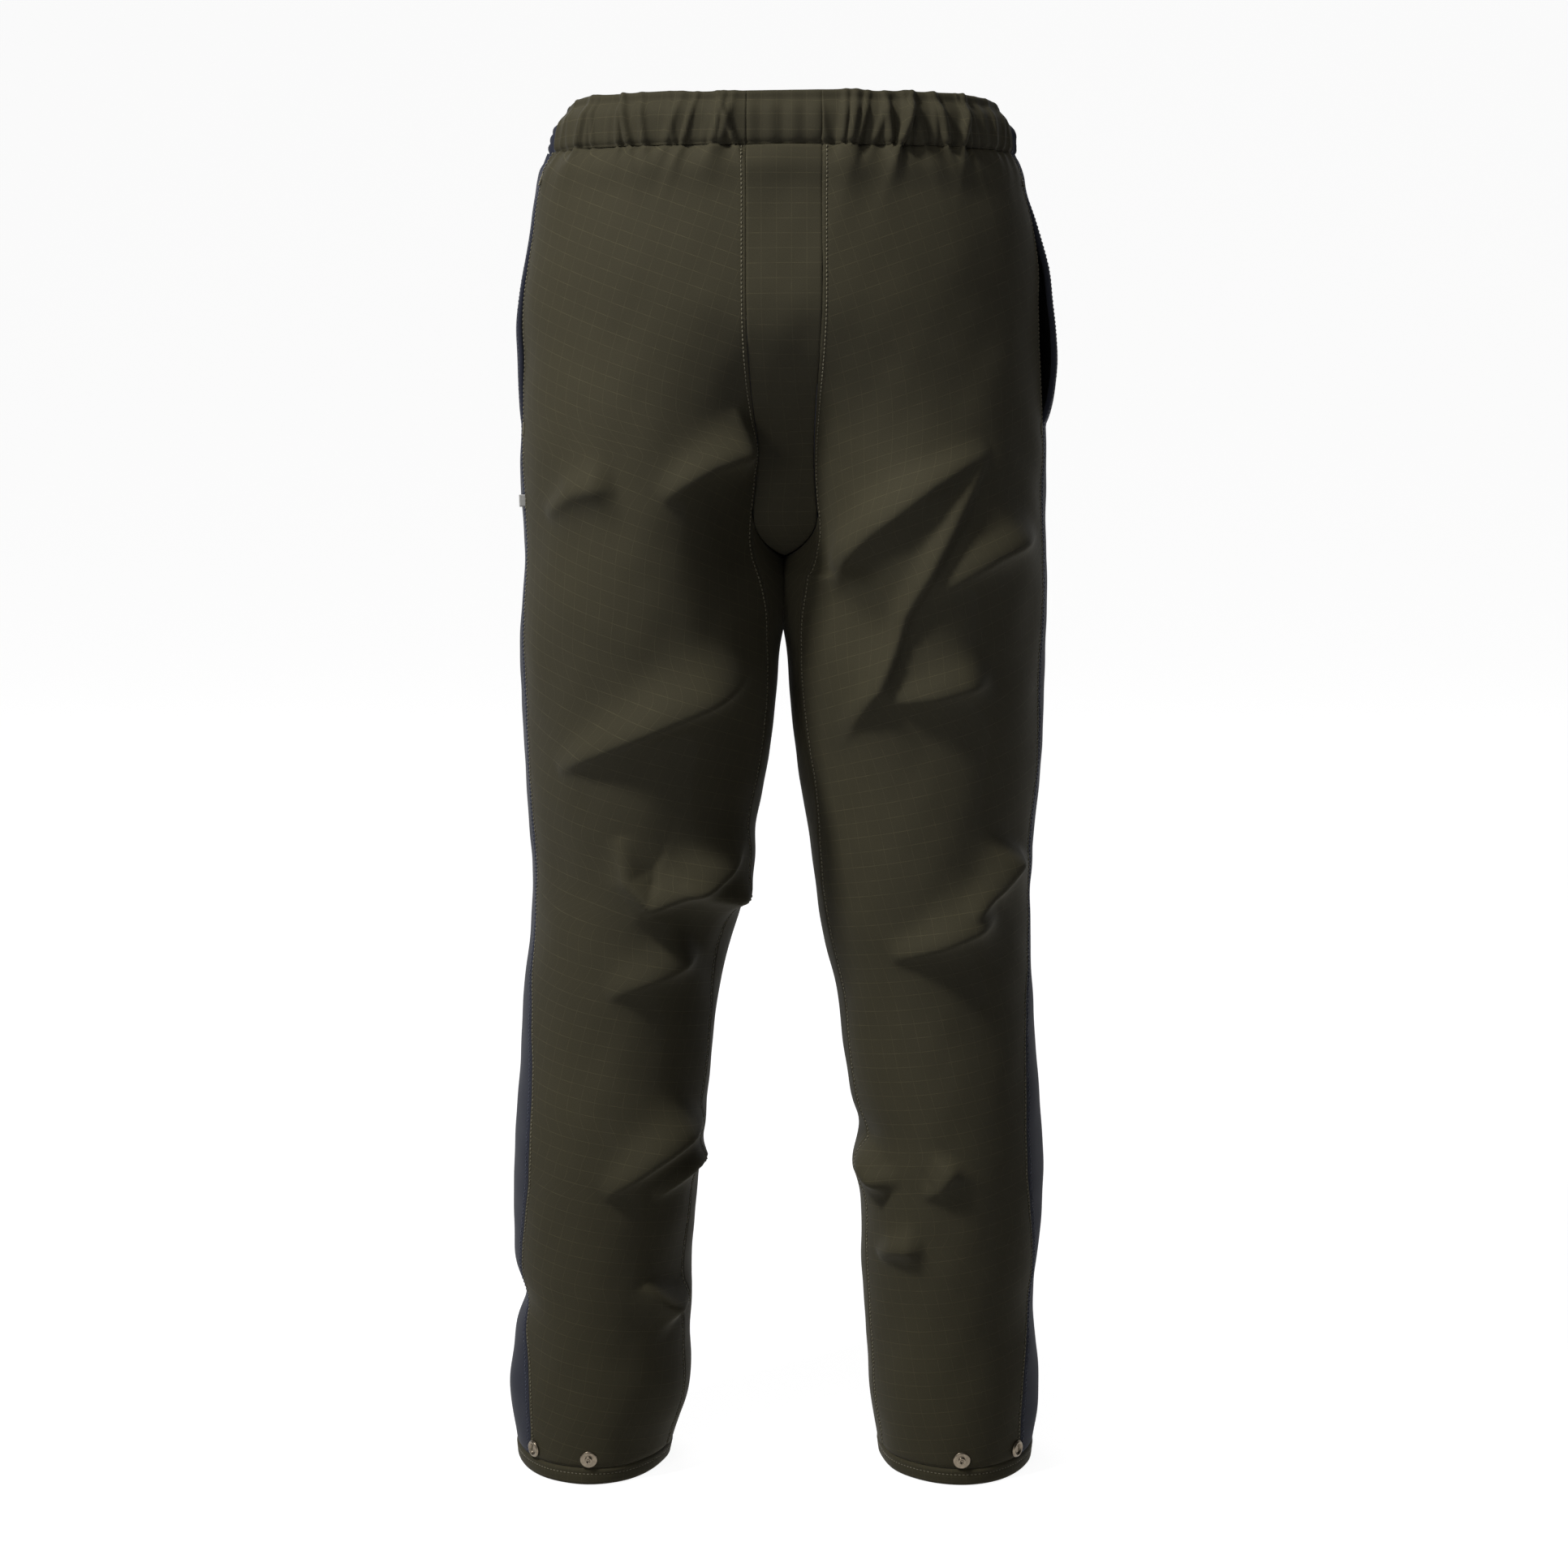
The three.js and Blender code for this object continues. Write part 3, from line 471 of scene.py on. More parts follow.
class Gathers:
    """The pleats that the elastic draws into the waist casing."""

    def __init__(
        self, seed: int, half_length: float, spacing: float, strength: Sequence[tuple[float, float]]
    ) -> None:
        """Draw the pleats along one side of the waist.

        Args:
            seed: seed of the draw.
            half_length: length of the waist edge on one side.
            spacing: mean distance between pleats.
            strength: how strongly the cloth gathers at distances from the seat strip.
        """
        rng = np.random.default_rng(seed)
        steps = rng.uniform(0.5, 1.6, int(half_length / spacing) + 6) * spacing
        self.at = np.cumsum(steps) - spacing
        self.width = rng.uniform(1.8, 5.0, len(self.at))
        self.height = rng.uniform(0.8, 8.0, len(self.at)) * Profile(strength)(self.at)
        self.slant = rng.uniform(-0.45, 0.45, len(self.at))
        self.reach = rng.uniform(8, 30, len(self.at))

    def lift(self, along: Array, drop: Array, casing: float) -> Array:
        """Return how far the pleats raise the cloth.

        Args:
            along: distance round the waist from the seat strip.
            drop: distance below the waist edge.
            casing: height of the casing.

        Returns:
            Heights in millimetres.
        """
        below = np.maximum(drop - casing, 0)
        out = np.zeros(np.broadcast(along, drop).shape)
        for at, width, height, slant, reach in zip(
            self.at, self.width, self.height, self.slant, self.reach
        ):
            w = width * (1 + below / 12)
            offset = along - at - slant * (drop - casing)
            sharp = np.exp(-(np.hypot(offset, 0.5) - 0.5) / (0.6 * w))
            shape = np.where(offset > 0, bell(offset, w), sharp)
            rise = 1 - 0.45 * np.clip((casing - drop) / casing, 0, 1)
            fall = 0.7 * np.exp(-below / reach) + 0.3 * np.exp(-below / 4)
            fade = np.where(below > 0, fall, rise)
            out += height * shape * fade
        return out


class Drape:
    """All the relief of the cloth, added to the plain form along its normals."""

    folds: tuple[Fold, ...] = (
        Fold(((-174, -303), (-150, -287), (-118, -280)), 11, 18, 12),
        Fold(((-88, -291), (-56, -268), (-14, -246)), 18, 20, 10),
        Fold(((-37, -222), (-28, -250), (-20, -276)), 9, 11, 9),
        Fold(((-168, -491), (-130, -472), (-98, -455), (-56, -433), (-16, -412)), 22, 27, 11),
        Fold(((-122, -536), (-116, -570), (-101, -589), (-64, -570), (-24, -538)), 22, 20, 11),
        Fold(((-84, -571), (-60, -584), (-28, -598)), 14, 14, 9),
        Fold(((-133, -660), (-98, -645), (-56, -626)), 13, 23, 11),
        Fold(((-135, -812), (-98, -784), (-58, -755)), 18, 22, 10),
        Fold(((-98, -815), (-78, -800), (-58, -786)), 11, 11, 7),
        Fold(((-106, -882), (-92, -902), (-76, -918)), 13, 14, 10),
        Fold(((150, -252), (107, -280), (70, -312), (43, -338), (22, -366)), 19, 23, 13),
        Fold(
            ((148, -256), (124, -302), (104, -345), (88, -374), (72, -427), (29, -482)), 13, 14, 6
        ),
        Fold(((108, -359), (148, -332), (190, -312)), 13, 20, 9),
        Fold(((72, -439), (112, -432), (156, -418)), 13, 20, 9),
        Fold(((134, -598), (156, -578), (180, -546)), 18, 18, 10),
        Fold(((80, -631), (118, -618), (162, -596)), 18, 23, 10),
        Fold(((56, -780), (66, -800), (80, -815)), 13, 11, 9),
        Fold(((104, -812), (118, -804), (132, -780)), 11, 14, 11),
        Fold(((72, -866), (88, -856), (108, -850)), 11, 14, 9),
        Fold(((-150, -330), (-110, -345), (-70, -352)), 6, 24, 20, Face.FRONT),
        Fold(((-165, -560), (-130, -590), (-80, -585)), 8, 25, 16, Face.FRONT),
        Fold(((-170, -640), (-125, -655), (-75, -632)), 7, 25, 16, Face.FRONT),
        Fold(((-165, -800), (-130, -825), (-95, -812)), 6, 24, 16, Face.FRONT),
        Fold(((-170, -940), (-140, -955), (-105, -945)), 7, 18, 15, Face.FRONT),
        Fold(((145, -325), (108, -345), (68, -350)), 6, 24, 20, Face.FRONT),
        Fold(((160, -575), (120, -600), (75, -590)), 8, 25, 16, Face.FRONT),
        Fold(((165, -655), (125, -668), (70, -650)), 7, 25, 16, Face.FRONT),
        Fold(((160, -815), (125, -838), (85, -822)), 6, 24, 16, Face.FRONT),
        Fold(((165, -945), (130, -962), (92, -950)), 7, 18, 15, Face.FRONT),
    )
    bulges: tuple[Bulge, ...] = (
        Bulge((-7, 20, -350), (30, 90, 24), 6),
        Bulge((7, 20, -350), (30, 90, 24), 6),
        Bulge((-5, 20, -376), (26, 90, 18), 1.8),
        Bulge((5, 20, -376), (26, 90, 18), 1.8),
        Bulge((0, -110, -318), (30, 60, 34), -6),
        Bulge((-180, 0, -62), (40, 80, 26), 4),
        Bulge((-22, -110, -335), (38, 60, 55), -12),
        Bulge((26, -110, -345), (36, 60, 50), -10),
        Bulge((-30, -105, -610), (40, 60, 40), -8),
        Bulge((22, -105, -480), (30, 70, 70), -12),
        Bulge((66, -110, -382), (34, 60, 30), -11),
        Bulge((100, -110, -470), (36, 60, 40), -6),
        Bulge((-30, -40, -575), (40, 70, 28), 6),
        Bulge((-55, -40, -640), (40, 70, 40), -5),
        Bulge((-75, -40, -880), (40, 70, 36), -6),
        Bulge((-70, -40, -980), (40, 70, 30), 6),
        Bulge((50, -40, -705), (40, 70, 30), 4),
        Bulge((58, -40, -775), (30, 70, 16), -5),
        Bulge((50, -40, -800), (30, 70, 16), 4),
        Bulge((-212, -20, -905), (30, 60, 18), -9),
        Bulge((-214, -20, -985), (30, 60, 42), 6),
        Bulge((-200, -20, -600), (30, 70, 60), -3),
        Bulge((200, -20, -905), (30, 60, 40), -4),
        Bulge((196, -20, -990), (30, 60, 40), 4),
    )
    broad_height: float = 2.0
    fine_height: float = 0.45
    settle: float = 120
    groove_depth: float = 1.1
    groove_width: float = 4.0
    puff_height: float = 2.6
    puff_drop: float = 15
    puff_width: float = 12.0
    pleats: dict[Side, tuple[int, float, tuple[tuple[float, float], ...]]] = {
        Side.LEFT: (11, 10, ((0, 1.0), (50, 0.9), (90, 0.3), (150, 0.35), (180, 0.8), (420, 0.7))),
        Side.RIGHT: (23, 9, ((0, 0.7), (40, 0.4), (90, 0.4), (120, 1.1), (190, 1.2), (420, 0.7))),
    }

    def __init__(self, form: BodyForm) -> None:
        """Draw the ripples and gathers for a form.

        Args:
            form: the worn shape.
        """
        self.form = form
        self.broad = Ripple(3, 160)
        self.fine = Ripple(7, 46, 24)
        turns = np.linspace(-1, 1, 400)
        self.tables = {}
        for side in Side:
            line = form.shell(side, turns, np.full(400, -form.casing_height))
            self.tables[side] = (turns, distances(line))
        length = self.tables[Side.LEFT][1][-1]
        self.gathers = {
            side: Gathers(seed, length, spacing, strength)
            for side, (seed, spacing, strength) in self.pleats.items()
        }

    def along(self, side: Side, turn: Array) -> Array:
        """Return the distance round the waist from the seat strip."""
        return np.interp(turn, *self.tables[side])

    def height(self, side: Side, turn: Array, points: Array, normals: Array) -> Array:
        """Return the cloth's relief.

        Args:
            side: the leg.
            turn: where round the shell, for the waist's gathers.
            points: points of the plain form.
            normals: outward normals there.

        Returns:
            Heights along the normals, in millimetres.
        """
        drop = -points[..., 2]
        below = drop - self.form.casing_height
        calm = smooth(below / self.settle)
        out = self.broad(points) * self.broad_height * calm
        out += self.fine(points) * self.fine_height * calm
        for fold in self.folds:
            out += fold.lift(points, normals)
        for bulge in self.bulges:
            out += bulge.lift(points)
        out += self.gathers[side].lift(self.along(side, turn), drop, self.form.casing_height)
        out -= self.groove_depth * bell(below, self.groove_width)
        out += self.puff_height * bell(below - self.puff_drop, self.puff_width)
        return out


# ---------------------------------------------------------------- meshes


def new_object(name: str, points: Array, faces: Array) -> bpy.types.Object:
    """Make a mesh object from points in millimetres.

    Args:
        name: the piece's name, or the CAD node that it stands for.
        points: (n, 3) points.
        faces: vertex numbers of each face.

    Returns:
        The new object, smooth shaded.
    """
    name = f"{name}_finished" if name in bpy.data.objects else name
    mesh = bpy.data.meshes.new(name)
    mesh.from_pydata((np.asarray(points) * MM).tolist(), [], np.asarray(faces).tolist())
    mesh.polygons.foreach_set("use_smooth", [True] * len(mesh.polygons))
    mesh.update()
    piece = bpy.data.objects.new(name, mesh)
    bpy.context.scene.collection.objects.link(piece)
    return piece


def grid_faces(rows: int, columns: int, wrap: bool = False) -> Array:
    """Return the quads of a grid of vertices, row after row.

    Args:
        rows: number of rows.
        columns: number of columns.
        wrap: join the last column to the first.

    Returns:
        (n, 4) vertex numbers.
    """
    r, c = np.meshgrid(np.arange(rows - 1), np.arange(columns - (0 if wrap else 1)), indexing="ij")
    c2 = (c + 1) % columns
    low, high = r * columns, (r + 1) * columns
    return np.stack([low + c, low + c2, high + c2, high + c], -1).reshape(-1, 4)


def grid_object(
    name: str, points: Array, uv: Array | None = None, flip: bool = False, wrap: bool = False
) -> bpy.types.Object:
    """Make a sheet from a grid of points.

    Args:
        name: the piece's name.
        points: (rows, columns, 3) points in millimetres.
        uv: (rows, columns, 2) cloth coordinates in millimetres, or none.
        flip: turn the faces over.
        wrap: close the grid on itself along its columns.

    Returns:
        The new object.
    """
    rows, columns = points.shape[:2]
    faces = grid_faces(rows, columns, wrap)
    if flip:
        faces = faces[:, ::-1]
    piece = new_object(name, points.reshape(-1, 3), faces)
    if uv is not None:
        lay_cloth(piece, uv.reshape(-1, 2))
    return piece


def lay_cloth(piece: bpy.types.Object, uv: Array) -> None:
    """Give every corner of a mesh the cloth coordinates of its vertex.

    Args:
        piece: the mesh object.
        uv: (n, 2) coordinates of the vertices, in millimetres.
    """
    layer = piece.data.uv_layers.new(name="cloth")
    corners = np.zeros(len(piece.data.loops), int)
    piece.data.loops.foreach_get("vertex_index", corners)
    layer.data.foreach_set("uv", (uv[corners] * MM).ravel())


def run_lengths(points: Array) -> Array:
    """Return the distance along each row of a grid from its first column."""
    steps = np.linalg.norm(np.diff(points, axis=1), axis=-1)
    return np.concatenate([np.zeros((len(points), 1)), np.cumsum(steps, axis=1)], axis=1)


def thicken(piece: bpy.types.Object, thickness: float) -> None:
    """Give a sheet its thickness, inwards.

    Args:
        piece: the sheet, its faces looking out.
        thickness: millimetres.
    """
    solid = piece.modifiers.new("thickness", "SOLIDIFY")
    solid.thickness = thickness * MM
    solid.offset = -1
    solid.use_even_offset = False


def edge_spaced(width: float, step: float, fine: Sequence[float]) -> Array:
    """Return shares across a width, close together near both edges.

    Args:
        width: the width in millimetres.
        step: spacing in the middle.
        fine: distances from each edge that get a line of their own.

    Returns:
        Shares from 0 to 1.
    """
    near = np.array([0.0, *fine])
    middle = np.linspace(near[-1], width - near[-1], max(3, int((width - 2 * near[-1]) / step)))
    return np.unique(np.concatenate([near, middle, width - near])) / width


def turned_in(
    grids: Sequence[Array], depth: Array, allowance: Sequence[float] = (3.5, 1.4)
) -> list[Array]:
    """Add the seam allowance, turned inwards, to both long edges of a panel's grid.

    Args:
        grids: coordinate grids, whose edge columns are repeated.
        depth: depths of the grid.
        allowance: extra depths of the added columns, outermost first.

    Returns:
        The wider grids, the depths last.
    """
    count = len(allowance)
    wide = [np.concatenate([g[:, :1]] * count + [g] + [g[:, -1:]] * count, axis=1) for g in grids]
    first = depth[:, :1] + np.array(allowance)[None, :]
    last = depth[:, -1:] + np.array(allowance[::-1])[None, :]
    return [*wide, np.concatenate([first, depth, last], axis=1)]


def normals_of(surface: Callable[[Array, Array], Array], u: Array, z: Array, sign: float) -> Array:
    """Return outward normals of a surface given by two coordinates.

    Args:
        surface: points for arrays of u and z.
        u: first coordinate.
        z: level.
        sign: 1 where u runs counterclockwise seen from above, else -1.

    Returns:
        Unit normals.
    """
    e = 1e-3
    across = surface(u + e, z) - surface(u - e, z)
    up = surface(u, z + e * 100) - surface(u, z - e * 100)
    return unit(np.cross(across, up) * sign)


def revolve(outline: Sequence[tuple[float, float]], segments: int = 48) -> tuple[Array, Array]:
    """Turn an outline of (radius, height) points round the Z axis.

    Args:
        outline: points, from one end on the axis to the other, or a closed loop off the axis.
        segments: steps round the axis.

    Returns:
        Points in millimetres and quads.
    """
    line = np.array(outline, float)
    angle = np.linspace(0, 2 * math.pi, segments, endpoint=False)
    r, h = line[:, 0][:, None], line[:, 1][:, None]
    points = np.stack([r * np.cos(angle), r * np.sin(angle), h + 0 * angle], axis=-1)
    return points.reshape(-1, 3), grid_faces(len(line), segments, wrap=True)


def standing(at: Array, normal: Array, turn: float = 0.0) -> Matrix:
    """Return the matrix that stands a part made round +Z on a surface.

    Args:
        at: the point, millimetres.
        normal: the surface's outward normal.
        turn: turn about the normal, radians.

    Returns:
        A matrix in metres.
    """
    spin = Vector(normal).to_track_quat("Z", "Y").to_matrix().to_4x4()
    return Matrix.Translation(Vector(at) * MM) @ spin @ Matrix.Rotation(turn, 4, "Z")


def tidy_mesh(piece: bpy.types.Object) -> None:
    """Merge doubled points at a turned part's axis and face every normal outwards.

    Args:
        piece: the mesh object.
    """
    bm = bmesh.new()
    bm.from_mesh(piece.data)
    bmesh.ops.remove_doubles(bm, verts=bm.verts, dist=1e-6)
    bmesh.ops.dissolve_degenerate(bm, edges=bm.edges, dist=1e-7)
    bmesh.ops.recalc_face_normals(bm, faces=bm.faces)
    bm.to_mesh(piece.data)
    bm.free()


def join_parts(name: str, parts: Sequence[tuple[Array, Array]]) -> bpy.types.Object:
    """Make one object of several shells.

    Args:
        name: the piece's name.
        parts: points in millimetres and quads of each shell.

    Returns:
        The new object.
    """
    points, faces, offset = [], [], 0
    for p, f in parts:
        points.append(p)
        faces.append(np.asarray(f) + offset)
        offset += len(p)
    piece = new_object(name, np.concatenate(points), np.concatenate(faces))
    tidy_mesh(piece)
    return piece


def rounded(piece: bpy.types.Object, radius: float, segments: int = 2) -> None:
    """Round a hard piece's edges with a bevel in millimetres.

    Args:
        piece: the mesh object.
        radius: the bevel's width, millimetres.
        segments: steps across it.
    """
    bevel = piece.modifiers.new("edges", "BEVEL")
    bevel.width = radius * MM
    bevel.segments = segments
    bevel.limit_method = "ANGLE"
    bevel.angle_limit = math.radians(35)


def stitch_row(
    name: str,
    path: Array,
    normals: Array,
    pitch: float = 3.1,
    length: float = 2.1,
    radius: float = 0.44,
) -> bpy.types.Object:
    """Sew a row of stitches along a path.

    Args:
        name: the row's name.
        path: (n, 3) points on the cloth, millimetres.
        normals: outward normals there.
        pitch: distance from stitch to stitch.
        length: visible length of a stitch.
        radius: half the thread's width.

    Returns:
        The row as one object.
    """
    run = distances(path)
    at = np.arange(pitch / 2, run[-1] - pitch / 2, pitch)
    centre, normal = sampled(path, run, at), unit(sampled(normals, run, at))
    along = unit(sampled(path, run, at + length / 2) - sampled(path, run, at - length / 2))
    side = unit(np.cross(normal, along))
    sides = np.linspace(0, 2 * math.pi, 6, endpoint=False)
    ring = np.array([(math.cos(a), math.sin(a)) for a in sides])
    lengths = np.array([-0.5, -0.42, -0.2, 0.2, 0.42, 0.5]) * length
    girths = np.array([0.25, 0.75, 1.0, 1.0, 0.75, 0.25]) * radius
    sink = np.array([-0.2, 0.05, 0.25, 0.25, 0.05, -0.2])
    points = (
        centre[:, None, None]
        + along[:, None, None] * lengths[None, :, None, None]
        + side[:, None, None] * (girths[:, None] * ring[:, 0])[None, :, :, None]
        + normal[:, None, None] * (girths[:, None] * ring[:, 1] + sink[:, None])[None, :, :, None]
    )
    body = grid_faces(len(lengths), len(sides), wrap=True)
    first = np.arange(len(at)) * len(lengths) * len(sides)
    faces = (body[None] + first[:, None, None]).reshape(-1, 4)
    return new_object(name, points.reshape(-1, 3), faces)


# ---------------------------------------------------------------- finishes


class Kit:
    """Shader node groups that several finishes share, each built once."""

    groups: dict[str, bpy.types.NodeTree] = {}

    @classmethod
    def group(
        cls, name: str, sockets: Sequence[tuple[str, str, str, float]]
    ) -> tuple[bpy.types.NodeTree, bool]:
        """Return a node group, and whether it is new.

        Args:
            name: the group's name.
            sockets: (name, "INPUT" or "OUTPUT", socket type, default) of each socket.

        Returns:
            The group and True if it was just made.
        """
        if name in cls.groups:
            return cls.groups[name], False
        tree = bpy.data.node_groups.new(name, "ShaderNodeTree")
        for label, way, kind, default in sockets:
            socket = tree.interface.new_socket(name=label, in_out=way, socket_type=kind)
            if kind == "NodeSocketFloat" and way == "INPUT":
                socket.default_value = default
        cls.groups[name] = tree
        return tree, True


class Wires:
    """Short calls for placing and joining shader nodes in one tree."""

    def __init__(self, tree: bpy.types.NodeTree) -> None:
        """Keep the tree."""
        self.tree = tree

    def node(self, kind: str, **settings: object) -> bpy.types.Node:
        """Add a node and set its properties.

        Args:
            kind: the node's type.
            **settings: its properties.

        Returns:
            The node.
        """
        made = self.tree.nodes.new(kind)
        for key, value in settings.items():
            setattr(made, key, value)
        return made

    def join(self, source: bpy.types.NodeSocket, target: bpy.types.NodeSocket) -> None:
        """Link two sockets."""
        self.tree.links.new(source, target)

    def maths(self, operation: str, a: object, b: object = 0.5) -> bpy.types.NodeSocket:
        """Add a maths node.

        Args:
            operation: the node's operation.
            a: first number or socket.
            b: second number or socket.

        Returns:
            The result's socket.
        """
        made = self.node("ShaderNodeMath", operation=operation)
        for socket, value in zip(made.inputs, (a, b)):
            if isinstance(value, bpy.types.NodeSocket):
                self.join(value, socket)
            else:
                socket.default_value = value
        return made.outputs[0]

    def noise(
        self, vector: bpy.types.NodeSocket, scale: float, detail: float
    ) -> bpy.types.NodeSocket:
        """Add a noise texture and return its value.

        Args:
            vector: where to look it up.
            scale: the texture's scale.
            detail: its detail.

        Returns:
            The result's socket.
        """
        made = self.node("ShaderNodeTexNoise")
        made.inputs["Scale"].default_value = scale
        made.inputs["Detail"].default_value = detail
        self.join(vector, made.inputs["Vector"])
        return made.outputs["Fac"]

    def stretched(
        self, vector: bpy.types.NodeSocket, scale: Sequence[float]
    ) -> bpy.types.NodeSocket:
        """Scale a vector by a different factor on each axis.

        Args:
            vector: the vector's socket.
            scale: the factors.

        Returns:
            The result's socket.
        """
        made = self.node("ShaderNodeVectorMath", operation="MULTIPLY")
        made.inputs[1].default_value = tuple(scale)
        self.join(vector, made.inputs[0])
        return made.outputs[0]

    def ranged(
        self, value: bpy.types.NodeSocket, low: float, high: float, to_low: float, to_high: float
    ) -> bpy.types.NodeSocket:
        """Map a value from one range to another, clamped.

        Args:
            value: the socket to map.
            low: the value that becomes to_low.
            high: the value that becomes to_high.
            to_low: one end of the new range.
            to_high: its other end.

        Returns:
            The result's socket.
        """
        made = self.node("ShaderNodeMapRange")
        for i, number in enumerate((low, high, to_low, to_high), start=1):
            made.inputs[i].default_value = number
        self.join(value, made.inputs[0])
        return made.outputs[0]

    def tinted(self, colour: object, factor: bpy.types.NodeSocket) -> bpy.types.NodeSocket:
        """Multiply a colour by a varying factor.

        Args:
            colour: a colour or its socket.
            factor: the factor's socket.

        Returns:
            The result's socket.
        """
        made = self.node("ShaderNodeVectorMath", operation="SCALE")
        if isinstance(colour, bpy.types.NodeSocket):
            self.join(colour, made.inputs[0])
        else:
            made.inputs[0].default_value = tuple(colour)[:3]
        self.join(factor, made.inputs["Scale"])
        return made.outputs[0]

    def bump(self, height: bpy.types.NodeSocket, strength: float, distance: float) -> None:
        """Roughen the shader's surface with a height.

        Args:
            height: the height's socket.
            strength: the bump's strength.
            distance: depth of the relief, metres.
        """
        made = self.node("ShaderNodeBump")
        made.inputs["Strength"].default_value = strength
        made.inputs["Distance"].default_value = distance
        self.join(height, made.inputs["Height"])
        self.join(made.outputs[0], self.shader().inputs["Normal"])

    def shader(self) -> bpy.types.Node:
        """Return the tree's own surface shader."""
        return self.tree.nodes["Principled BSDF"]


def new_material(name: str) -> tuple[bpy.types.Material, Wires]:
    """Make a material and return it with the wires of its tree.

    Args:
        name: the material's name.

    Returns:
        The material and its wires.
    """
    made = bpy.data.materials.new(name)
    made.use_nodes = True
    return made, Wires(made.node_tree)


def weave_group() -> bpy.types.NodeTree:
    """Build the woven cloth group: a ripstop grid, yarn grain and slow fading.

    Returns:
        The group, with Shade (a factor for the base colour), Rough and Height out.
    """
    tree, is_new = Kit.group(
        "woven_cloth",
        [
            ("Cloth", "INPUT", "NodeSocketVector", 0),
            ("Grid", "INPUT", "NodeSocketFloat", 10.8),
            ("Grid Strength", "INPUT", "NodeSocketFloat", 0.25),
            ("Grain", "INPUT", "NodeSocketFloat", 0.2),
            ("Fading", "INPUT", "NodeSocketFloat", 0.12),
            ("Shade", "OUTPUT", "NodeSocketFloat", 0),
            ("Rough", "OUTPUT", "NodeSocketFloat", 0),
            ("Height", "OUTPUT", "NodeSocketFloat", 0),
        ],
    )
    if not is_new:
        return tree
    w = Wires(tree)
    inp, out = w.node("NodeGroupInput"), w.node("NodeGroupOutput")
    cloth = inp.outputs["Cloth"]
    millimetres = w.stretched(cloth, (1000, 1000, 0))
    parts = w.node("ShaderNodeSeparateXYZ")
    w.join(millimetres, parts.inputs[0])
    bands = []
    for axis, strength in ((0, 0.65), (1, 1.0)):
        cell = w.maths("DIVIDE", parts.outputs[axis], inp.outputs["Grid"])
        offset = w.maths("ABSOLUTE", w.maths("SUBTRACT", w.maths("FRACT", cell), 0.5))
        line = w.ranged(offset, 0.462, 0.5, 0.0, 1.0)
        other = parts.outputs[1 - axis]
        beads = w.ranged(w.maths("SINE", w.maths("MULTIPLY", other, 4.6)), -1, 1, 0.45, 1.0)
        bands.append(w.maths("MULTIPLY", w.maths("MULTIPLY", line, beads), strength))
    ribs = w.maths("MAXIMUM", bands[0], bands[1])
    ribs = w.maths("MULTIPLY", ribs, w.ranged(w.noise(millimetres, 0.09, 2), 0.35, 0.65, 0.35, 1.0))
    grain_a = w.noise(w.stretched(millimetres, (0.9, 2.6, 1)), 1.0, 2)
    grain_b = w.noise(w.stretched(millimetres, (2.6, 0.9, 1)), 1.0, 2)
    grain = w.maths("SUBTRACT", w.maths("ADD", grain_a, grain_b), 1.0)
    slow = w.maths("SUBTRACT", w.noise(millimetres, 0.011, 3), 0.5)
    shade = w.maths("ADD", 1.0, w.maths("MULTIPLY", ribs, inp.outputs["Grid Strength"]))
    shade = w.maths("ADD", shade, w.maths("MULTIPLY", grain, inp.outputs["Grain"]))
    shade = w.maths("ADD", shade, w.maths("MULTIPLY", slow, inp.outputs["Fading"]))
    w.join(shade, out.inputs["Shade"])
    w.join(w.maths("ADD", 0.8, w.maths("MULTIPLY", grain, 0.12)), out.inputs["Rough"])
    height = w.maths("ADD", w.maths("MULTIPLY", ribs, 0.7), w.maths("MULTIPLY", grain, 0.35))
    w.join(height, out.inputs["Height"])
    return tree


def patina_group() -> bpy.types.NodeTree:
    """Build the aged metal group: cloudy tarnish, rough specks and fine scratches.

    Returns:
        The group, with Shade, Rough and Height out.
    """
    tree, is_new = Kit.group(
        "aged_metal",
        [
            ("Place", "INPUT", "NodeSocketVector", 0),
            ("Tarnish", "INPUT", "NodeSocketFloat", 0.5),
            ("Shade", "OUTPUT", "NodeSocketFloat", 0),
            ("Rough", "OUTPUT", "NodeSocketFloat", 0),
            ("Height", "OUTPUT", "NodeSocketFloat", 0),
        ],
    )
    if not is_new:
        return tree
    w = Wires(tree)
    inp, out = w.node("NodeGroupInput"), w.node("NodeGroupOutput")
    place = inp.outputs["Place"]
    cloud = w.noise(place, 420, 4)
    speck = w.noise(place, 2600, 2)
    scratch = w.noise(w.stretched(place, (9000, 900, 2500)), 1.0, 2)
    dark = w.maths("MULTIPLY", w.ranged(cloud, 0.42, 0.62, 0, 1), inp.outputs["Tarnish"])
    w.join(w.maths("SUBTRACT", 1.0, dark), out.inputs["Shade"])
    rough = w.maths("ADD", 0.28, w.maths("MULTIPLY", dark, 0.35))
    w.join(w.maths("ADD", rough, w.maths("MULTIPLY", speck, 0.12)), out.inputs["Rough"])
    height = w.maths("ADD", w.maths("MULTIPLY", scratch, 0.6), w.maths("MULTIPLY", speck, 0.4))
    w.join(height, out.inputs["Height"])
    return tree


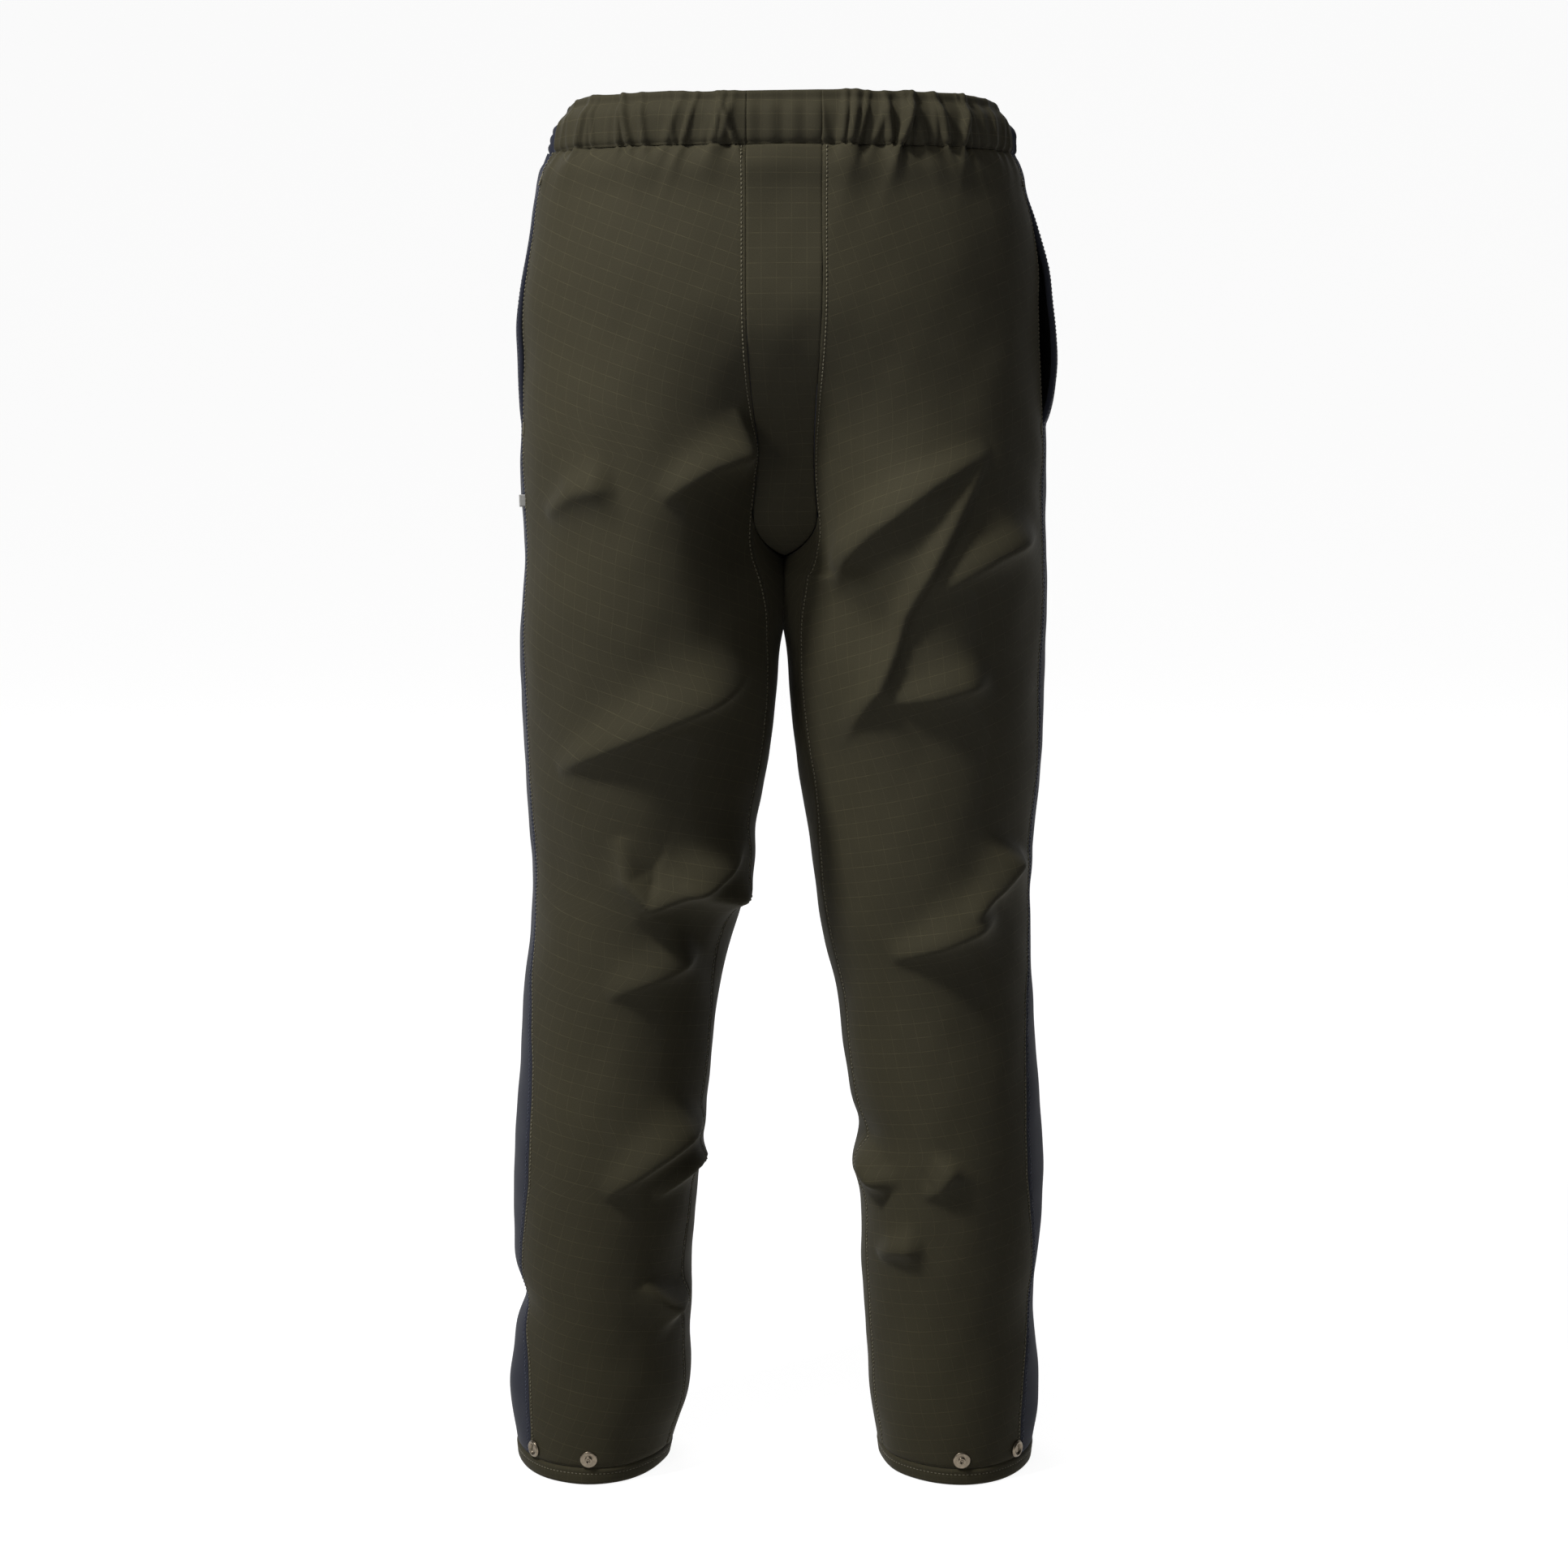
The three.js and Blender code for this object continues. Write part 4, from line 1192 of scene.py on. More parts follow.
@dataclass(frozen=True)
class ClothFinish:
    """A woven fabric: its colour, ripstop grid, grain and sheen."""

    name: str
    colour: tuple[float, float, float]
    slot: str
    grid: float = 10.8
    grid_strength: float = 0.3
    grain: float = 0.45
    fading: float = 0.22
    sheen: float = 0.12
    relief: float = 0.25

    def material(self) -> bpy.types.Material:
        """Return the fabric's material, made on first use.

        Returns:
            The material.
        """
        found = bpy.data.materials.get(self.name)
        if found:
            return found
        made, w = new_material(self.name)
        shader = w.shader()
        where = w.node("ShaderNodeUVMap", uv_map="cloth")
        weave = w.node("ShaderNodeGroup", node_tree=weave_group())
        w.join(where.outputs[0], weave.inputs["Cloth"])
        for key in ("Grid", "Grid Strength", "Grain", "Fading"):
            weave.inputs[key].default_value = getattr(self, key.lower().replace(" ", "_"))
        w.join(w.tinted(self.colour, weave.outputs["Shade"]), shader.inputs["Base Color"])
        w.join(weave.outputs["Rough"], shader.inputs["Roughness"])
        w.bump(weave.outputs["Height"], self.relief, 0.0004)
        shader.inputs["Sheen Weight"].default_value = self.sheen
        shader.inputs["Sheen Roughness"].default_value = 0.6
        shader.inputs["Specular IOR Level"].default_value = 0.25
        return made


@dataclass(frozen=True)
class ThreadFinish:
    """Sewing thread."""

    name: str
    colour: tuple[float, float, float]
    slot: str

    def material(self) -> bpy.types.Material:
        """Return the thread's material, made on first use.

        Returns:
            The material.
        """
        found = bpy.data.materials.get(self.name)
        if found:
            return found
        made, w = new_material(self.name)
        shader = w.shader()
        place = w.node("ShaderNodeTexCoord").outputs["Object"]
        twist = w.ranged(w.noise(place, 900, 2), 0.3, 0.7, 0.6, 1.25)
        w.join(w.tinted(self.colour, twist), shader.inputs["Base Color"])
        w.join(w.ranged(w.noise(place, 1500, 1), 0.3, 0.7, 0.5, 0.75), shader.inputs["Roughness"])
        return made


@dataclass(frozen=True)
class MetalFinish:
    """Aged metal of the press studs and the zip."""

    name: str
    colour: tuple[float, float, float]
    slot: str
    tarnish: float = 0.55

    def material(self) -> bpy.types.Material:
        """Return the metal's material, made on first use.

        Returns:
            The material.
        """
        found = bpy.data.materials.get(self.name)
        if found:
            return found
        made, w = new_material(self.name)
        shader = w.shader()
        place = w.node("ShaderNodeTexCoord").outputs["Object"]
        age = w.node("ShaderNodeGroup", node_tree=patina_group())
        w.join(place, age.inputs["Place"])
        age.inputs["Tarnish"].default_value = self.tarnish
        w.join(w.tinted(self.colour, age.outputs["Shade"]), shader.inputs["Base Color"])
        w.join(age.outputs["Rough"], shader.inputs["Roughness"])
        shader.inputs["Metallic"].default_value = 1.0
        w.bump(age.outputs["Height"], 0.25, 0.0001)
        return made


OLIVE = ClothFinish(
    "olive_ripstop", (0.069, 0.060, 0.0315), "olive", grid_strength=1.05, sheen=0.04
)
NAVY = ClothFinish("navy_shell", (0.023, 0.027, 0.050), "navy", grid_strength=0.0, grain=0.3)
# Near-black cloth for the pocket bags and facings: on the bags it is partly their own dark
# pocketing and partly painted shade; on the facings, which are navy cloth, it is painted shade that
# darkens the pocket mouths.
BLACK = ClothFinish("black_pocketing", (0.010, 0.010, 0.012), "black", grid_strength=0.0, grain=0.3)
PAD = ClothFinish(
    "pad_fibre", (0.55, 0.44, 0.15), "saw_padding", grid=3.4, grid_strength=0.25, grain=0.6
)
KNIT = ClothFinish(
    "lining_knit", (0.020, 0.022, 0.028), "lining", grid=2.2, grid_strength=0.6, grain=0.4
)
ELASTIC = ClothFinish(
    "elastic_webbing", (0.74, 0.72, 0.68), "elastic", grid=1.6, grid_strength=-0.35, grain=0.2
)
LABEL = ClothFinish(
    "label_satin", (0.80, 0.79, 0.77), "label", grid_strength=0.0, grain=0.12, sheen=0.3
)
TAPE = ClothFinish("zip_tape_weave", (0.014, 0.015, 0.020), "zip_tape", grid=1.4, grid_strength=0.5)
OLIVE_THREAD = ThreadFinish("olive_thread", (0.30, 0.27, 0.18), "olive")
NAVY_THREAD = ThreadFinish("navy_thread", (0.10, 0.11, 0.16), "navy")
SNAP_METAL = MetalFinish("snap_brass", (0.24, 0.20, 0.15), "snap_metal", 0.2)
ZIP_METAL = MetalFinish("zip_brass", (0.40, 0.34, 0.24), "zip_metal", 0.4)


def dress(
    piece: bpy.types.Object,
    finish: ClothFinish | ThreadFinish | MetalFinish,
    body: str,
    *nodes: str,
) -> bpy.types.Object:
    """Give a piece its finish, its body and the CAD nodes it stands for.

    Args:
        piece: the piece.
        finish: what it is made of.
        body: the rigid body it moves with.
        nodes: CAD nodes it replaces.

    Returns:
        The same piece.
    """
    piece.data.materials.clear()
    piece.data.materials.append(finish.material())
    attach(piece, body)
    if nodes:
        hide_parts(*nodes)
    log.info("%s: %d faces, rides on %s", piece.name, len(piece.data.polygons), body)
    return piece


GARMENT, SLIDER, PULL, TAB = "garment", "slider", "pull", "tab"


def declare_cut(piece: bpy.types.Object, points: Array, held: str, *rests_on: str) -> None:
    """Measure how long the flat cut of a sheet of cloth is over its grid; the length is not kept.

    Args:
        piece: the sheet; not used.
        points: (rows, columns, 3) points of one face, in millimetres.
        held: how it is held; not used.
        rests_on: the nodes or pieces that carry it; not used.
    """
    length = float(run_lengths(points.transpose(1, 0, 2))[:, -1].max())


@dataclass(frozen=True)
class Sheet:
    """One cut piece of cloth that rides on the garment: its CAD node, its thickness, its finish."""

    node: str
    thickness: float
    finish: ClothFinish
    held: str
    rests_on: tuple[str, ...]

    def build(self, points: Array, uv: Array, flip: bool = False) -> bpy.types.Object:
        """Args:
            points: (rows, columns, 3) points of its face, in millimetres.
            uv: (rows, columns, 2) cloth coordinates in millimetres.
            flip: turn the faces over.

        Returns:
            The piece.
        """
        piece = grid_object(self.node, points, uv, flip)
        thicken(piece, self.thickness)
        dress(piece, self.finish, GARMENT, self.node)
        declare_cut(piece, points, self.held, *self.rests_on)
        return piece


# ---------------------------------------------------------------- shell


@dataclass
class Cloth:
    """The cloth layers' places: the plain form with the drape's relief on it."""

    form: BodyForm = field(default_factory=BodyForm)
    thickness: float = 1.1
    seam_gap: float = 0.06
    top: float = -37.4
    bottom: float = -1026.6
    row_step: float = 2.7
    column_step: float = 2.8
    gape_left: float = 3.5
    gape_right: float = 12
    stitch_inset: float = 3.2
    roll_depth: float = 0.42
    roll_width: float = 0.8
    row_depth: float = 0.28
    swell: float = 0.22

    def __post_init__(self) -> None:
        """Build the drape."""
        self.drape = Drape(self.form)
        rows = int((self.top - self.bottom) / self.row_step)
        self.levels = np.linspace(self.top, self.bottom, rows)

    def gape(self, side: Side, turn: Array, z: Array) -> Array:
        """Return how far the front panel's edge stands off at the pocket mouth.

        Args:
            side: the leg.
            turn: where round the shell.
            z: levels.

        Returns:
            Distances in millimetres.
        """
        form = self.form
        size = self.gape_left if side is Side.LEFT else self.gape_right
        along = (-z - form.pocket_top) / (form.pocket_bottom - form.pocket_top)
        inside = (along > 0) & (along < 1)
        arch = np.where(inside, np.sin(math.pi * np.clip(along, 0, 1) ** 1.7), 0.0) ** 0.8
        return size * arch * (1 - smooth((turn - form.seam_turn(z)) / 0.42))

    def on_shell(self, side: Side, turn: Array, z: Array, depth: Array | float = 0.0) -> Array:
        """Return points of the draped shell.

        Args:
            side: the leg.
            turn: where round it.
            z: levels.
            depth: distance inside the cloth's face.

        Returns:
            Points in millimetres.
        """
        turn, z = spread(turn, z)
        base = self.form.shell(side, turn, z)
        normal = self.shell_normal(side, turn, z)
        lift = self.drape.height(side, turn, base, normal) - depth
        return base + normal * lift[..., None]

    def shell_normal(self, side: Side, turn: Array, z: Array) -> Array:
        """Return the plain form's outward normals."""
        return normals_of(partial(self.form.shell, side), *spread(turn, z), side.value)

    def on_gusset(self, side: Side, across: Array, z: Array, depth: Array | float = 0.0) -> Array:
        """Return points of the draped inner-leg gusset.

        Args:
            side: the leg.
            across: where across it, -1 at its back seam and 1 at its front seam.
            z: levels.
            depth: distance inside the cloth's face.

        Returns:
            Points in millimetres.
        """
        across, z = spread(across, z)
        base = self.form.gusset(side, across, z)
        normal = normals_of(partial(self.form.gusset, side), across, z, -side.value)
        lift = self.drape.height(side, np.zeros(z.shape), base, normal) - depth
        return base + normal * lift[..., None]

    def seam_roll(self, distance: Array, along: Array, stitched: bool = True) -> Array:
        """Return the depth of the cloth near a seam: rolled in at the edge, pinched by stitches.

        Args:
            distance: distance from the seam.
            along: distance along it.
            stitched: whether a stitch row runs beside the seam.

        Returns:
            Depths in millimetres.
        """
        roll = self.roll_depth * bell(distance, self.roll_width)
        if not stitched:
            return roll
        pucker = 0.5 + 0.5 * np.sin(along / 1.15 + 2.1 * np.sin(along / 13.0))
        row = self.row_depth * bell(distance - self.stitch_inset, 1.0)
        return roll + row - self.swell * pucker * bell(distance - 1.8, 2.4)


@dataclass
class ShellPanels:
    """The back panels, front panels, seat strip and inner-leg gussets, with their seams."""

    cloth: Cloth
    edge_lines: tuple[float, ...] = (0.45, 0.95, 1.6, 2.3, 3.2, 4.2, 5.6)
    margin: float = 0.0003
    back_width: float = 240
    front_width: float = 300
    hem_roll: float = 0.9
    waist_roll: float = 0.4
    thread_rise: float = 0.18
    rows: dict[Face, tuple[str, str]] = field(
        default_factory=lambda: {
            Face.BACK: ("seat_seam", "side_seam"),
            Face.FRONT: ("pocket_edge", "fly_edge"),
        }
    )
    seat_slope: float = math.radians(19)
    leg_slope: float = math.radians(9)

    def cloth_uv(self, points: Array, straight: bool = False) -> Array:
        """Return cloth coordinates: the cut's grain lies at an angle to the seam.

        Args:
            points: (rows, columns, 3) points, column 0 at the inner seam.
            straight: whether the grain follows the piece's own length.

        Returns:
            (rows, columns, 2) coordinates in millimetres.
        """
        s, z = run_lengths(points), points[..., 2]
        if straight:
            down = run_lengths(points.transpose(1, 0, 2)).T
            return np.stack([s, down], -1)
        level = points[:, 0, 2]
        slope = np.tan(mix(self.seat_slope, self.leg_slope, smooth((-level - 250) / 400)))
        shift = np.concatenate([[0], np.cumsum(np.diff(level) * (slope[1:] + slope[:-1]) / 2)])
        return np.stack([s + shift[:, None], z - slope[:, None] * s], -1)

    def grid(self, side: Side, face: Face) -> tuple[Array, Array, Array]:
        """Return the grid of a back or front panel.

        Args:
            side: the leg.
            face: which of its two panels.

        Returns:
            Turns, levels and depths.
        """
        cloth, form = self.cloth, self.cloth.form
        z = cloth.levels[:, None]
        seam = form.seam_turn(z)
        if face is Face.BACK:
            start, end, width = -1 + self.margin, seam - self.margin, self.back_width
        else:
            start, end, width = seam + self.margin, 1 - self.margin, self.front_width
        turn = start + (end - start) * edge_spaced(width, cloth.column_step, self.edge_lines)
        z = z + 0 * turn
        s = run_lengths(form.shell(side, turn, z))
        depth = cloth.seam_roll(np.minimum(s, s[:, -1:] - s), z)
        if face is Face.FRONT:
            depth = depth - cloth.gape(side, turn, z)
        hem, waist = z - cloth.bottom, cloth.top - z
        depth = depth + self.hem_roll * bell(hem, 1.4) + self.waist_roll * bell(waist, 1.0)
        return tuple(turned_in([turn, z], depth))

    def build_panel(self, side: Side, face: Face) -> None:
        """Build and dress one back or front panel with its stitch rows.

        Args:
            side: the leg.
            face: which of its two panels.
        """
        word = face.name.lower()
        finish = OLIVE if face is Face.BACK else NAVY
        turn, z, depth = self.grid(side, face)
        points = self.cloth.on_shell(side, turn, z, depth)
        casing = (f"waist_casing_{word}_{side.label}",)
        sheet = Sheet(f"{word}_panel_{side.label}", self.cloth.thickness, finish, "hung", casing)
        sheet.build(points, self.cloth_uv(points), flip=side is Side.RIGHT)
        for row, from_start in zip(self.rows[face], (True, False)):
            self.sew(side, face, row, turn, z, from_start)

    def sew(
        self, side: Side, face: Face, name: str, turn: Array, z: Array, from_start: bool
    ) -> None:
        """Sew a stitch row beside one long edge of a panel.

        Args:
            side: the leg.
            face: which of its two panels; the front one stands off at the pocket.
            name: the row's name.
            turn: turns of the panel's grid.
            z: its levels.
            from_start: measure from the grid's first column.
        """
        cloth, level = self.cloth, z[:, 0]
        s = run_lengths(cloth.form.shell(side, turn, z))
        reach = cloth.stitch_inset if from_start else s[:, -1] - cloth.stitch_inset
        reach = np.broadcast_to(reach, (len(s),))
        at = np.array([np.interp(reach[i], s[i], turn[i]) for i in range(len(s))])
        depth = cloth.seam_roll(np.full(len(s), cloth.stitch_inset), level) - self.thread_rise
        if face is Face.FRONT:
            depth = depth - cloth.gape(side, at, level)
        path = cloth.on_shell(side, at, level, depth)
        normal = cloth.shell_normal(side, at, level)
        row = stitch_row(f"{name}_stitches_{side.label}", path, normal)
        dress(row, OLIVE_THREAD if face is Face.BACK else NAVY_THREAD, GARMENT)

    def build_gusset(self, side: Side) -> None:
        """Build and dress one inner-leg gusset.

        Args:
            side: the leg.
        """
        cloth, form = self.cloth, self.cloth.form
        across = (edge_spaced(120, cloth.column_step, self.edge_lines) * 2 - 1) * 0.99
        top = form.fork_curve(across) - 0.8
        level = np.linspace(0, 1, int((form.fork - cloth.bottom) / cloth.row_step))[:, None]
        straight = -form.rise - 8
        share = smooth(level / 0.12)
        z = mix(top[None, :], np.minimum(straight, top)[None, :], share)
        z = z + (cloth.bottom - z) * level
        a = np.broadcast_to(across, z.shape)
        s = run_lengths(form.gusset(side, a, z))
        near = np.minimum(s, s[:, -1:] - s)
        a, z, depth = turned_in([a, z], cloth.seam_roll(near, z, stitched=False))
        points = cloth.on_gusset(side, a, z, depth)
        panels = (f"back_panel_{side.label}", f"front_panel_{side.label}")
        sheet = Sheet(f"inner_leg_gusset_{side.label}", cloth.thickness, OLIVE, "hung", panels)
        sheet.build(points, self.cloth_uv(points, straight=True), flip=side is Side.LEFT)

    def build_strip(self) -> None:
        """Build and dress the strip down the seat, under the crotch and up to the fly."""
        cloth, form = self.cloth, self.cloth.form
        back = cloth.levels[cloth.levels >= form.fork + 1]
        front = back[back <= -form.fly_length - 1][::-1]
        across = np.linspace(-1, 1, 60)[1:-1]
        rails = []
        for side in Side:
            edge = [
                cloth.on_shell(side, np.full(len(back), -1.0), back),
                cloth.on_gusset(side, across, form.fork_curve(across)),
                cloth.on_shell(side, np.full(len(front), 1.0), front),
            ]
            rails.append(np.concatenate(edge))
        a, b = rails
        inset = unit(b - a) * cloth.seam_gap
        a, b = a + inset, b - inset
        forward = np.gradient((a + b) / 2, axis=0)
        outward = unit(np.cross(forward, b - a))
        width = np.linalg.norm(b - a, axis=1)
        share = edge_spaced(2 * form.strip_half, cloth.column_step, self.edge_lines[:4])
        s = share[None, :] * width[:, None]
        run = distances(a)
        near = np.minimum(s, width[:, None] - s)
        depth = cloth.seam_roll(near, run[:, None] + 0 * s, stitched=False)
        crown = 0.6 * np.sin(math.pi * share)[None, :] * np.minimum(1, width / 40)[:, None]
        shares = share[None, :] + 0 * s
        shares, s, crown, depth = turned_in([shares, s, crown + 0 * s], depth)
        points = a[:, None] + (b - a)[:, None] * shares[..., None]
        points = points + outward[:, None] * (crown - depth)[..., None]
        points += outward[:, None] * (0.5 * cloth.drape.fine(points))[..., None]
        uv = np.stack([s, run[:, None] + 0 * s], -1)
        sheet = Sheet("seat_strip", cloth.thickness, OLIVE, "hung", ("waist_casing_strip",))
        sheet.build(points, uv, flip=True)

    def build(self) -> None:
        """Build every shell panel."""
        for side in Side:
            self.build_panel(side, Face.BACK)
            self.build_panel(side, Face.FRONT)
            self.build_gusset(side)
        self.build_strip()


# ---------------------------------------------------------------- hems


@dataclass
class HemBands:
    """The turned-up band round each leg's lower edge."""

    cloth: Cloth
    height: float = 13
    fold: float = 2.6
    stitch_drop: float = 4.0

    def loop(self, side: Side, z: float, depth: float) -> Array:
        """Return one closed loop round the leg.

        Args:
            side: the leg.
            z: its level.
            depth: distance inside the cloth's face.

        Returns:
            Points in millimetres.
        """
        cloth, form = self.cloth, self.cloth.form
        turn = np.linspace(-1, 1, 220)
        shell = cloth.on_shell(side, turn, np.full(220, z), depth)
        across = np.linspace(1, -1, 50)[1:-1]
        inner = cloth.on_gusset(side, across, np.full(48, z), depth)
        return np.concatenate([shell, inner])

    def build(self) -> None:
        """Build both bands with their stitch rows."""
        top, bottom = -self.cloth.form.outseam + self.height, -self.cloth.form.outseam
        row_level = top - self.stitch_drop
        outer = [(0.9, top + 0.3), (-0.35, top - 0.8), (-0.7, top - 2.4), (-0.2, row_level)]
        outer += [(-0.75, z) for z in np.linspace(top - 5.5, bottom + 2, 5)]
        around = [(0.2, bottom + 0.5), (self.fold / 2, bottom), (self.fold - 0.2, bottom + 0.6)]
        inner = [(self.fold, z) for z in np.linspace(bottom + 2, top, 5)]
        section = outer + around + inner
        for side in Side:
            rings = np.array([self.loop(side, z, depth) for depth, z in section])
            drop = np.array([z for _, z in section])
            uv = np.stack(np.broadcast_arrays(distances(rings[0])[None, :], drop[:, None]), -1)
            closed = np.concatenate([rings, rings[:1]])
            piece = grid_object(
                f"hem_band_{side.label}",
                closed,
                np.concatenate([uv, uv[:1]]),
                flip=side is Side.RIGHT,
                wrap=True,
            )
            dress(piece, OLIVE, GARMENT, f"hem_band_{side.label}")
            row = self.loop(side, row_level, 0.05)
            normal = unit(row - self.loop(side, row_level, 3.0))
            stitches = stitch_row(f"hem_stitches_{side.label}", row, normal)
            dress(stitches, OLIVE_THREAD, GARMENT)


# ---------------------------------------------------------------- waist


@dataclass
class WaistCasing:
    """The folded casing round the waist, its stitch row and the elastic inside."""

    cloth: Cloth
    height: float = 37
    depth: float = 6.8
    puff: float = 1.2
    stitch_drop: float = 35.4
    round_in: float = 4.5
    corner_drop: float = 7.5
    corner_reach: float = 0.18
    arc_step: float = 1.5
    arc_length: float = 290
    outer_steps: int = 26
    seam_turns: float = 0.0003
    thread_rise: float = 0.12
    elastic_near: float = 2.6
    elastic_inset: float = 9.0
    elastic_thickness: float = 2.0

    def section(self) -> tuple[Array, Array]:
        """Return the casing's outline, from its outer lower edge over the top to its inner one.

        Returns:
            Drops below the waist edge and depths inside the shell.
        """
        outer = np.linspace(self.height, 3.2, self.outer_steps)
        lift = self.puff * np.sin(np.clip((self.height - outer) / 30, 0, 1) * math.pi) ** 0.9
        pinch = 0.7 * bell(outer - self.stitch_drop, 1.3)
        lip = 1.4 * bell(outer - self.height, 4.0)
        lift = lift - self.round_in * bell(outer - 3.2, 7.0)
        angle = np.linspace(0, math.pi, 10)[1:-1]
        half = (self.depth - self.round_in) / 2
        top_depth = self.round_in + half - half * np.cos(angle)
        top_drop = 3.2 - 3.2 * np.sin(angle)
        inner = np.linspace(3.2, self.height, 16)
        drops = np.concatenate([outer, top_drop, inner])
        inner_pinch = 1.1 * bell(inner - self.stitch_drop, 1.5)
        depths = np.concatenate([pinch + lip - lift, top_depth, self.depth - inner_pinch])
        return drops, depths

    def wall(self, side: Side, turn: Array) -> Array:
        """Return the casing's points at each turn, from its outer lower edge to its inner one.

        Args:
            side: the side of the waist.
            turn: where round it.

        Returns:
            (turns, section, 3) points in millimetres.
        """
        drops, depths = self.section()
        turn, drop = np.broadcast_arrays(turn[:, None], drops[None, :])
        lift = self.cloth.drape.gathers[side].lift(
            self.cloth.drape.along(side, turn), drop, self.height
        )
        outside = np.clip(1 - depths / self.depth, 0, 1)[None, :]
        form = self.cloth.form
        base = form.shell(side, turn, -drop)
        normal = self.cloth.shell_normal(side, turn, -drop)
        normal[..., 2] = 0
        normal = unit(normal)
        waviness = self.cloth.drape.fine(base * np.array([1, 1, 0])) * 0.5
        edge = np.exp(-drop / 9)
        out = base + normal * (lift * (0.35 + 0.65 * outside) - depths[None, :])[..., None]
        out[..., 2] += (waviness + 0.14 * lift) * edge - self.corner(turn, drop)
        return out

    def corner(self, turn: Array, drop: Array) -> Array:
        """Return how far the casing sinks at the wearer's sides."""
        return self.corner_drop * np.exp(-((turn / self.corner_reach) ** 2) - drop / 26)

    def turns(self, start: float, end: float) -> Array:
        """Return turns between two, an arc step apart."""
        steps = int(abs(end - start) * self.arc_length / self.arc_step)
        return np.linspace(start, end, steps)

    def stitch_index(self) -> int:
        """Return which point of the section the stitch row runs over."""
        drops, _ = self.section()
        return int(np.argmin(np.abs(drops[: self.outer_steps] - self.stitch_drop)))

    def add_part(self, word: str, side: Side, turn: Array, finish: ClothFinish) -> None:
        """Build and dress a length of the casing.

        Args:
            word: back or front, for its name.
            side: the side of the waist.
            turn: where round the waist.
            finish: its cloth.
        """
        points = self.wall(side, turn)
        run = self.cloth.drape.along(side, turn)[:, None] + 0 * points[..., 0]
        uv = np.stack([run, run_lengths(points)], -1)
        name = f"waist_casing_{word}_{side.label}"
        sheet = Sheet(name, self.cloth.thickness, finish, "gathered", ("waist_elastic",))
        sheet.build(points, uv, flip=side is Side.LEFT)

    def sew(self, word: str, side: Side, turn: Array, thread: ThreadFinish) -> None:
        """Sew the row that closes the casing's lower edge.

        Args:
            word: back or front, for its name.
            side: the side of the waist.
            turn: where round the waist.
            thread: its thread.
        """
        normal = self.cloth.shell_normal(side, turn, -self.stitch_drop)
        path = self.wall(side, turn)[:, self.stitch_index()] + normal * self.thread_rise
        dress(stitch_row(f"casing_stitches_{word}_{side.label}", path, normal), thread, GARMENT)

    def build(self) -> None:
        """Build the casing's five lengths, its stitches and the elastic."""
        seam = float(self.cloth.form.seam_turn(-self.height))
        gap = self.seam_turns
        for side in Side:
            back, front = self.turns(-1 + gap, seam - gap), self.turns(seam + gap, 1 - gap)
            self.add_part("back", side, back, OLIVE)
            self.add_part("front", side, front, NAVY)
            self.sew("back", side, back, OLIVE_THREAD)
            self.sew("front", side, front, NAVY_THREAD)
        self.build_strip()
        self.build_elastic()

    def build_strip(self) -> None:
        """Build the casing's middle length, over the seat strip."""
        left = self.wall(Side.LEFT, np.array([-1.0]))[0]
        right = self.wall(Side.RIGHT, np.array([-1.0]))[0]
        share = edge_spaced(2 * self.cloth.form.strip_half, 1.8, (0.5, 1.1, 1.9))
        width = float(right[0, 0] - left[0, 0])
        points = left[None] + (right - left)[None] * share[:, None, None]
        near = np.minimum(share, 1 - share) * width
        roll = 1.3 * bell(near, 1.0)
        ripple = 0.9 * np.sin(share * 21 + 1.0) * np.sin(math.pi * share) ** 0.5
        _, depths = self.section()
        outside = np.clip(1 - depths / self.depth, 0, 1)
        points[..., 1] += roll[:, None] * outside - ripple[:, None] * outside * 0.9
        s = np.broadcast_to((share * width)[:, None], points.shape[:2])
        name = "waist_casing_strip"
        sheet = Sheet(name, self.cloth.thickness, OLIVE, "folded", ("waist_elastic",))
        sheet.build(points, np.stack([s, run_lengths(points)], -1))
        normal = np.tile([0.0, -1.0, 0.0], (len(share), 1))
        path = points[:, self.stitch_index()] + normal * self.thread_rise
        dress(stitch_row("casing_stitches_strip", path, normal), OLIVE_THREAD, GARMENT)

    def build_elastic(self) -> None:
        """Build the ribbed elastic band inside the casing."""
        low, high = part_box("waist_elastic")
        drop_top, drop_bottom = -high.z / MM, -low.z / MM
        turn = np.linspace(-1, 0.9, 260)
        near, far = self.elastic_near, self.elastic_near + self.elastic_thickness
        middle = np.linspace(drop_bottom - 2, drop_top + self.elastic_inset, 6)
        inset = np.repeat([near, far], len(middle))
        z = -np.concatenate([middle, middle[::-1]])
        rings = []
        for side, order in ((Side.LEFT, turn[::-1]), (Side.RIGHT, turn)):
            for t in order:
                depth = inset + 0.12 * math.sin(t * 900)
                normal = self.cloth.shell_normal(side, t, z)
                ring = self.cloth.form.shell(side, t, z) - normal * depth[:, None]
                ring[:, 2] -= self.corner(t, -z)
                rings.append(ring)
        points = np.array(rings)
        run = run_lengths(points.transpose(1, 0, 2)).T
        around = np.broadcast_to(np.arange(len(z)) * 5.0, run.shape)
        uv = np.stack([run, around], -1)
        piece = grid_object("waist_elastic", points, uv, flip=True, wrap=True)
        self.cap_ends(piece, len(z))
        dress(piece, ELASTIC, GARMENT, "waist_elastic")

    @staticmethod
    def cap_ends(piece: bpy.types.Object, size: int) -> None:
        """Close both ends of a lofted band.

        Args:
            piece: the band.
            size: number of points round its section.
        """
        bm = bmesh.new()
        bm.from_mesh(piece.data)
        bmesh.ops.holes_fill(bm, edges=bm.edges, sides=size)
        bmesh.ops.recalc_face_normals(bm, faces=bm.faces)
        bm.to_mesh(piece.data)
        bm.free()


# ---------------------------------------------------------------- pockets


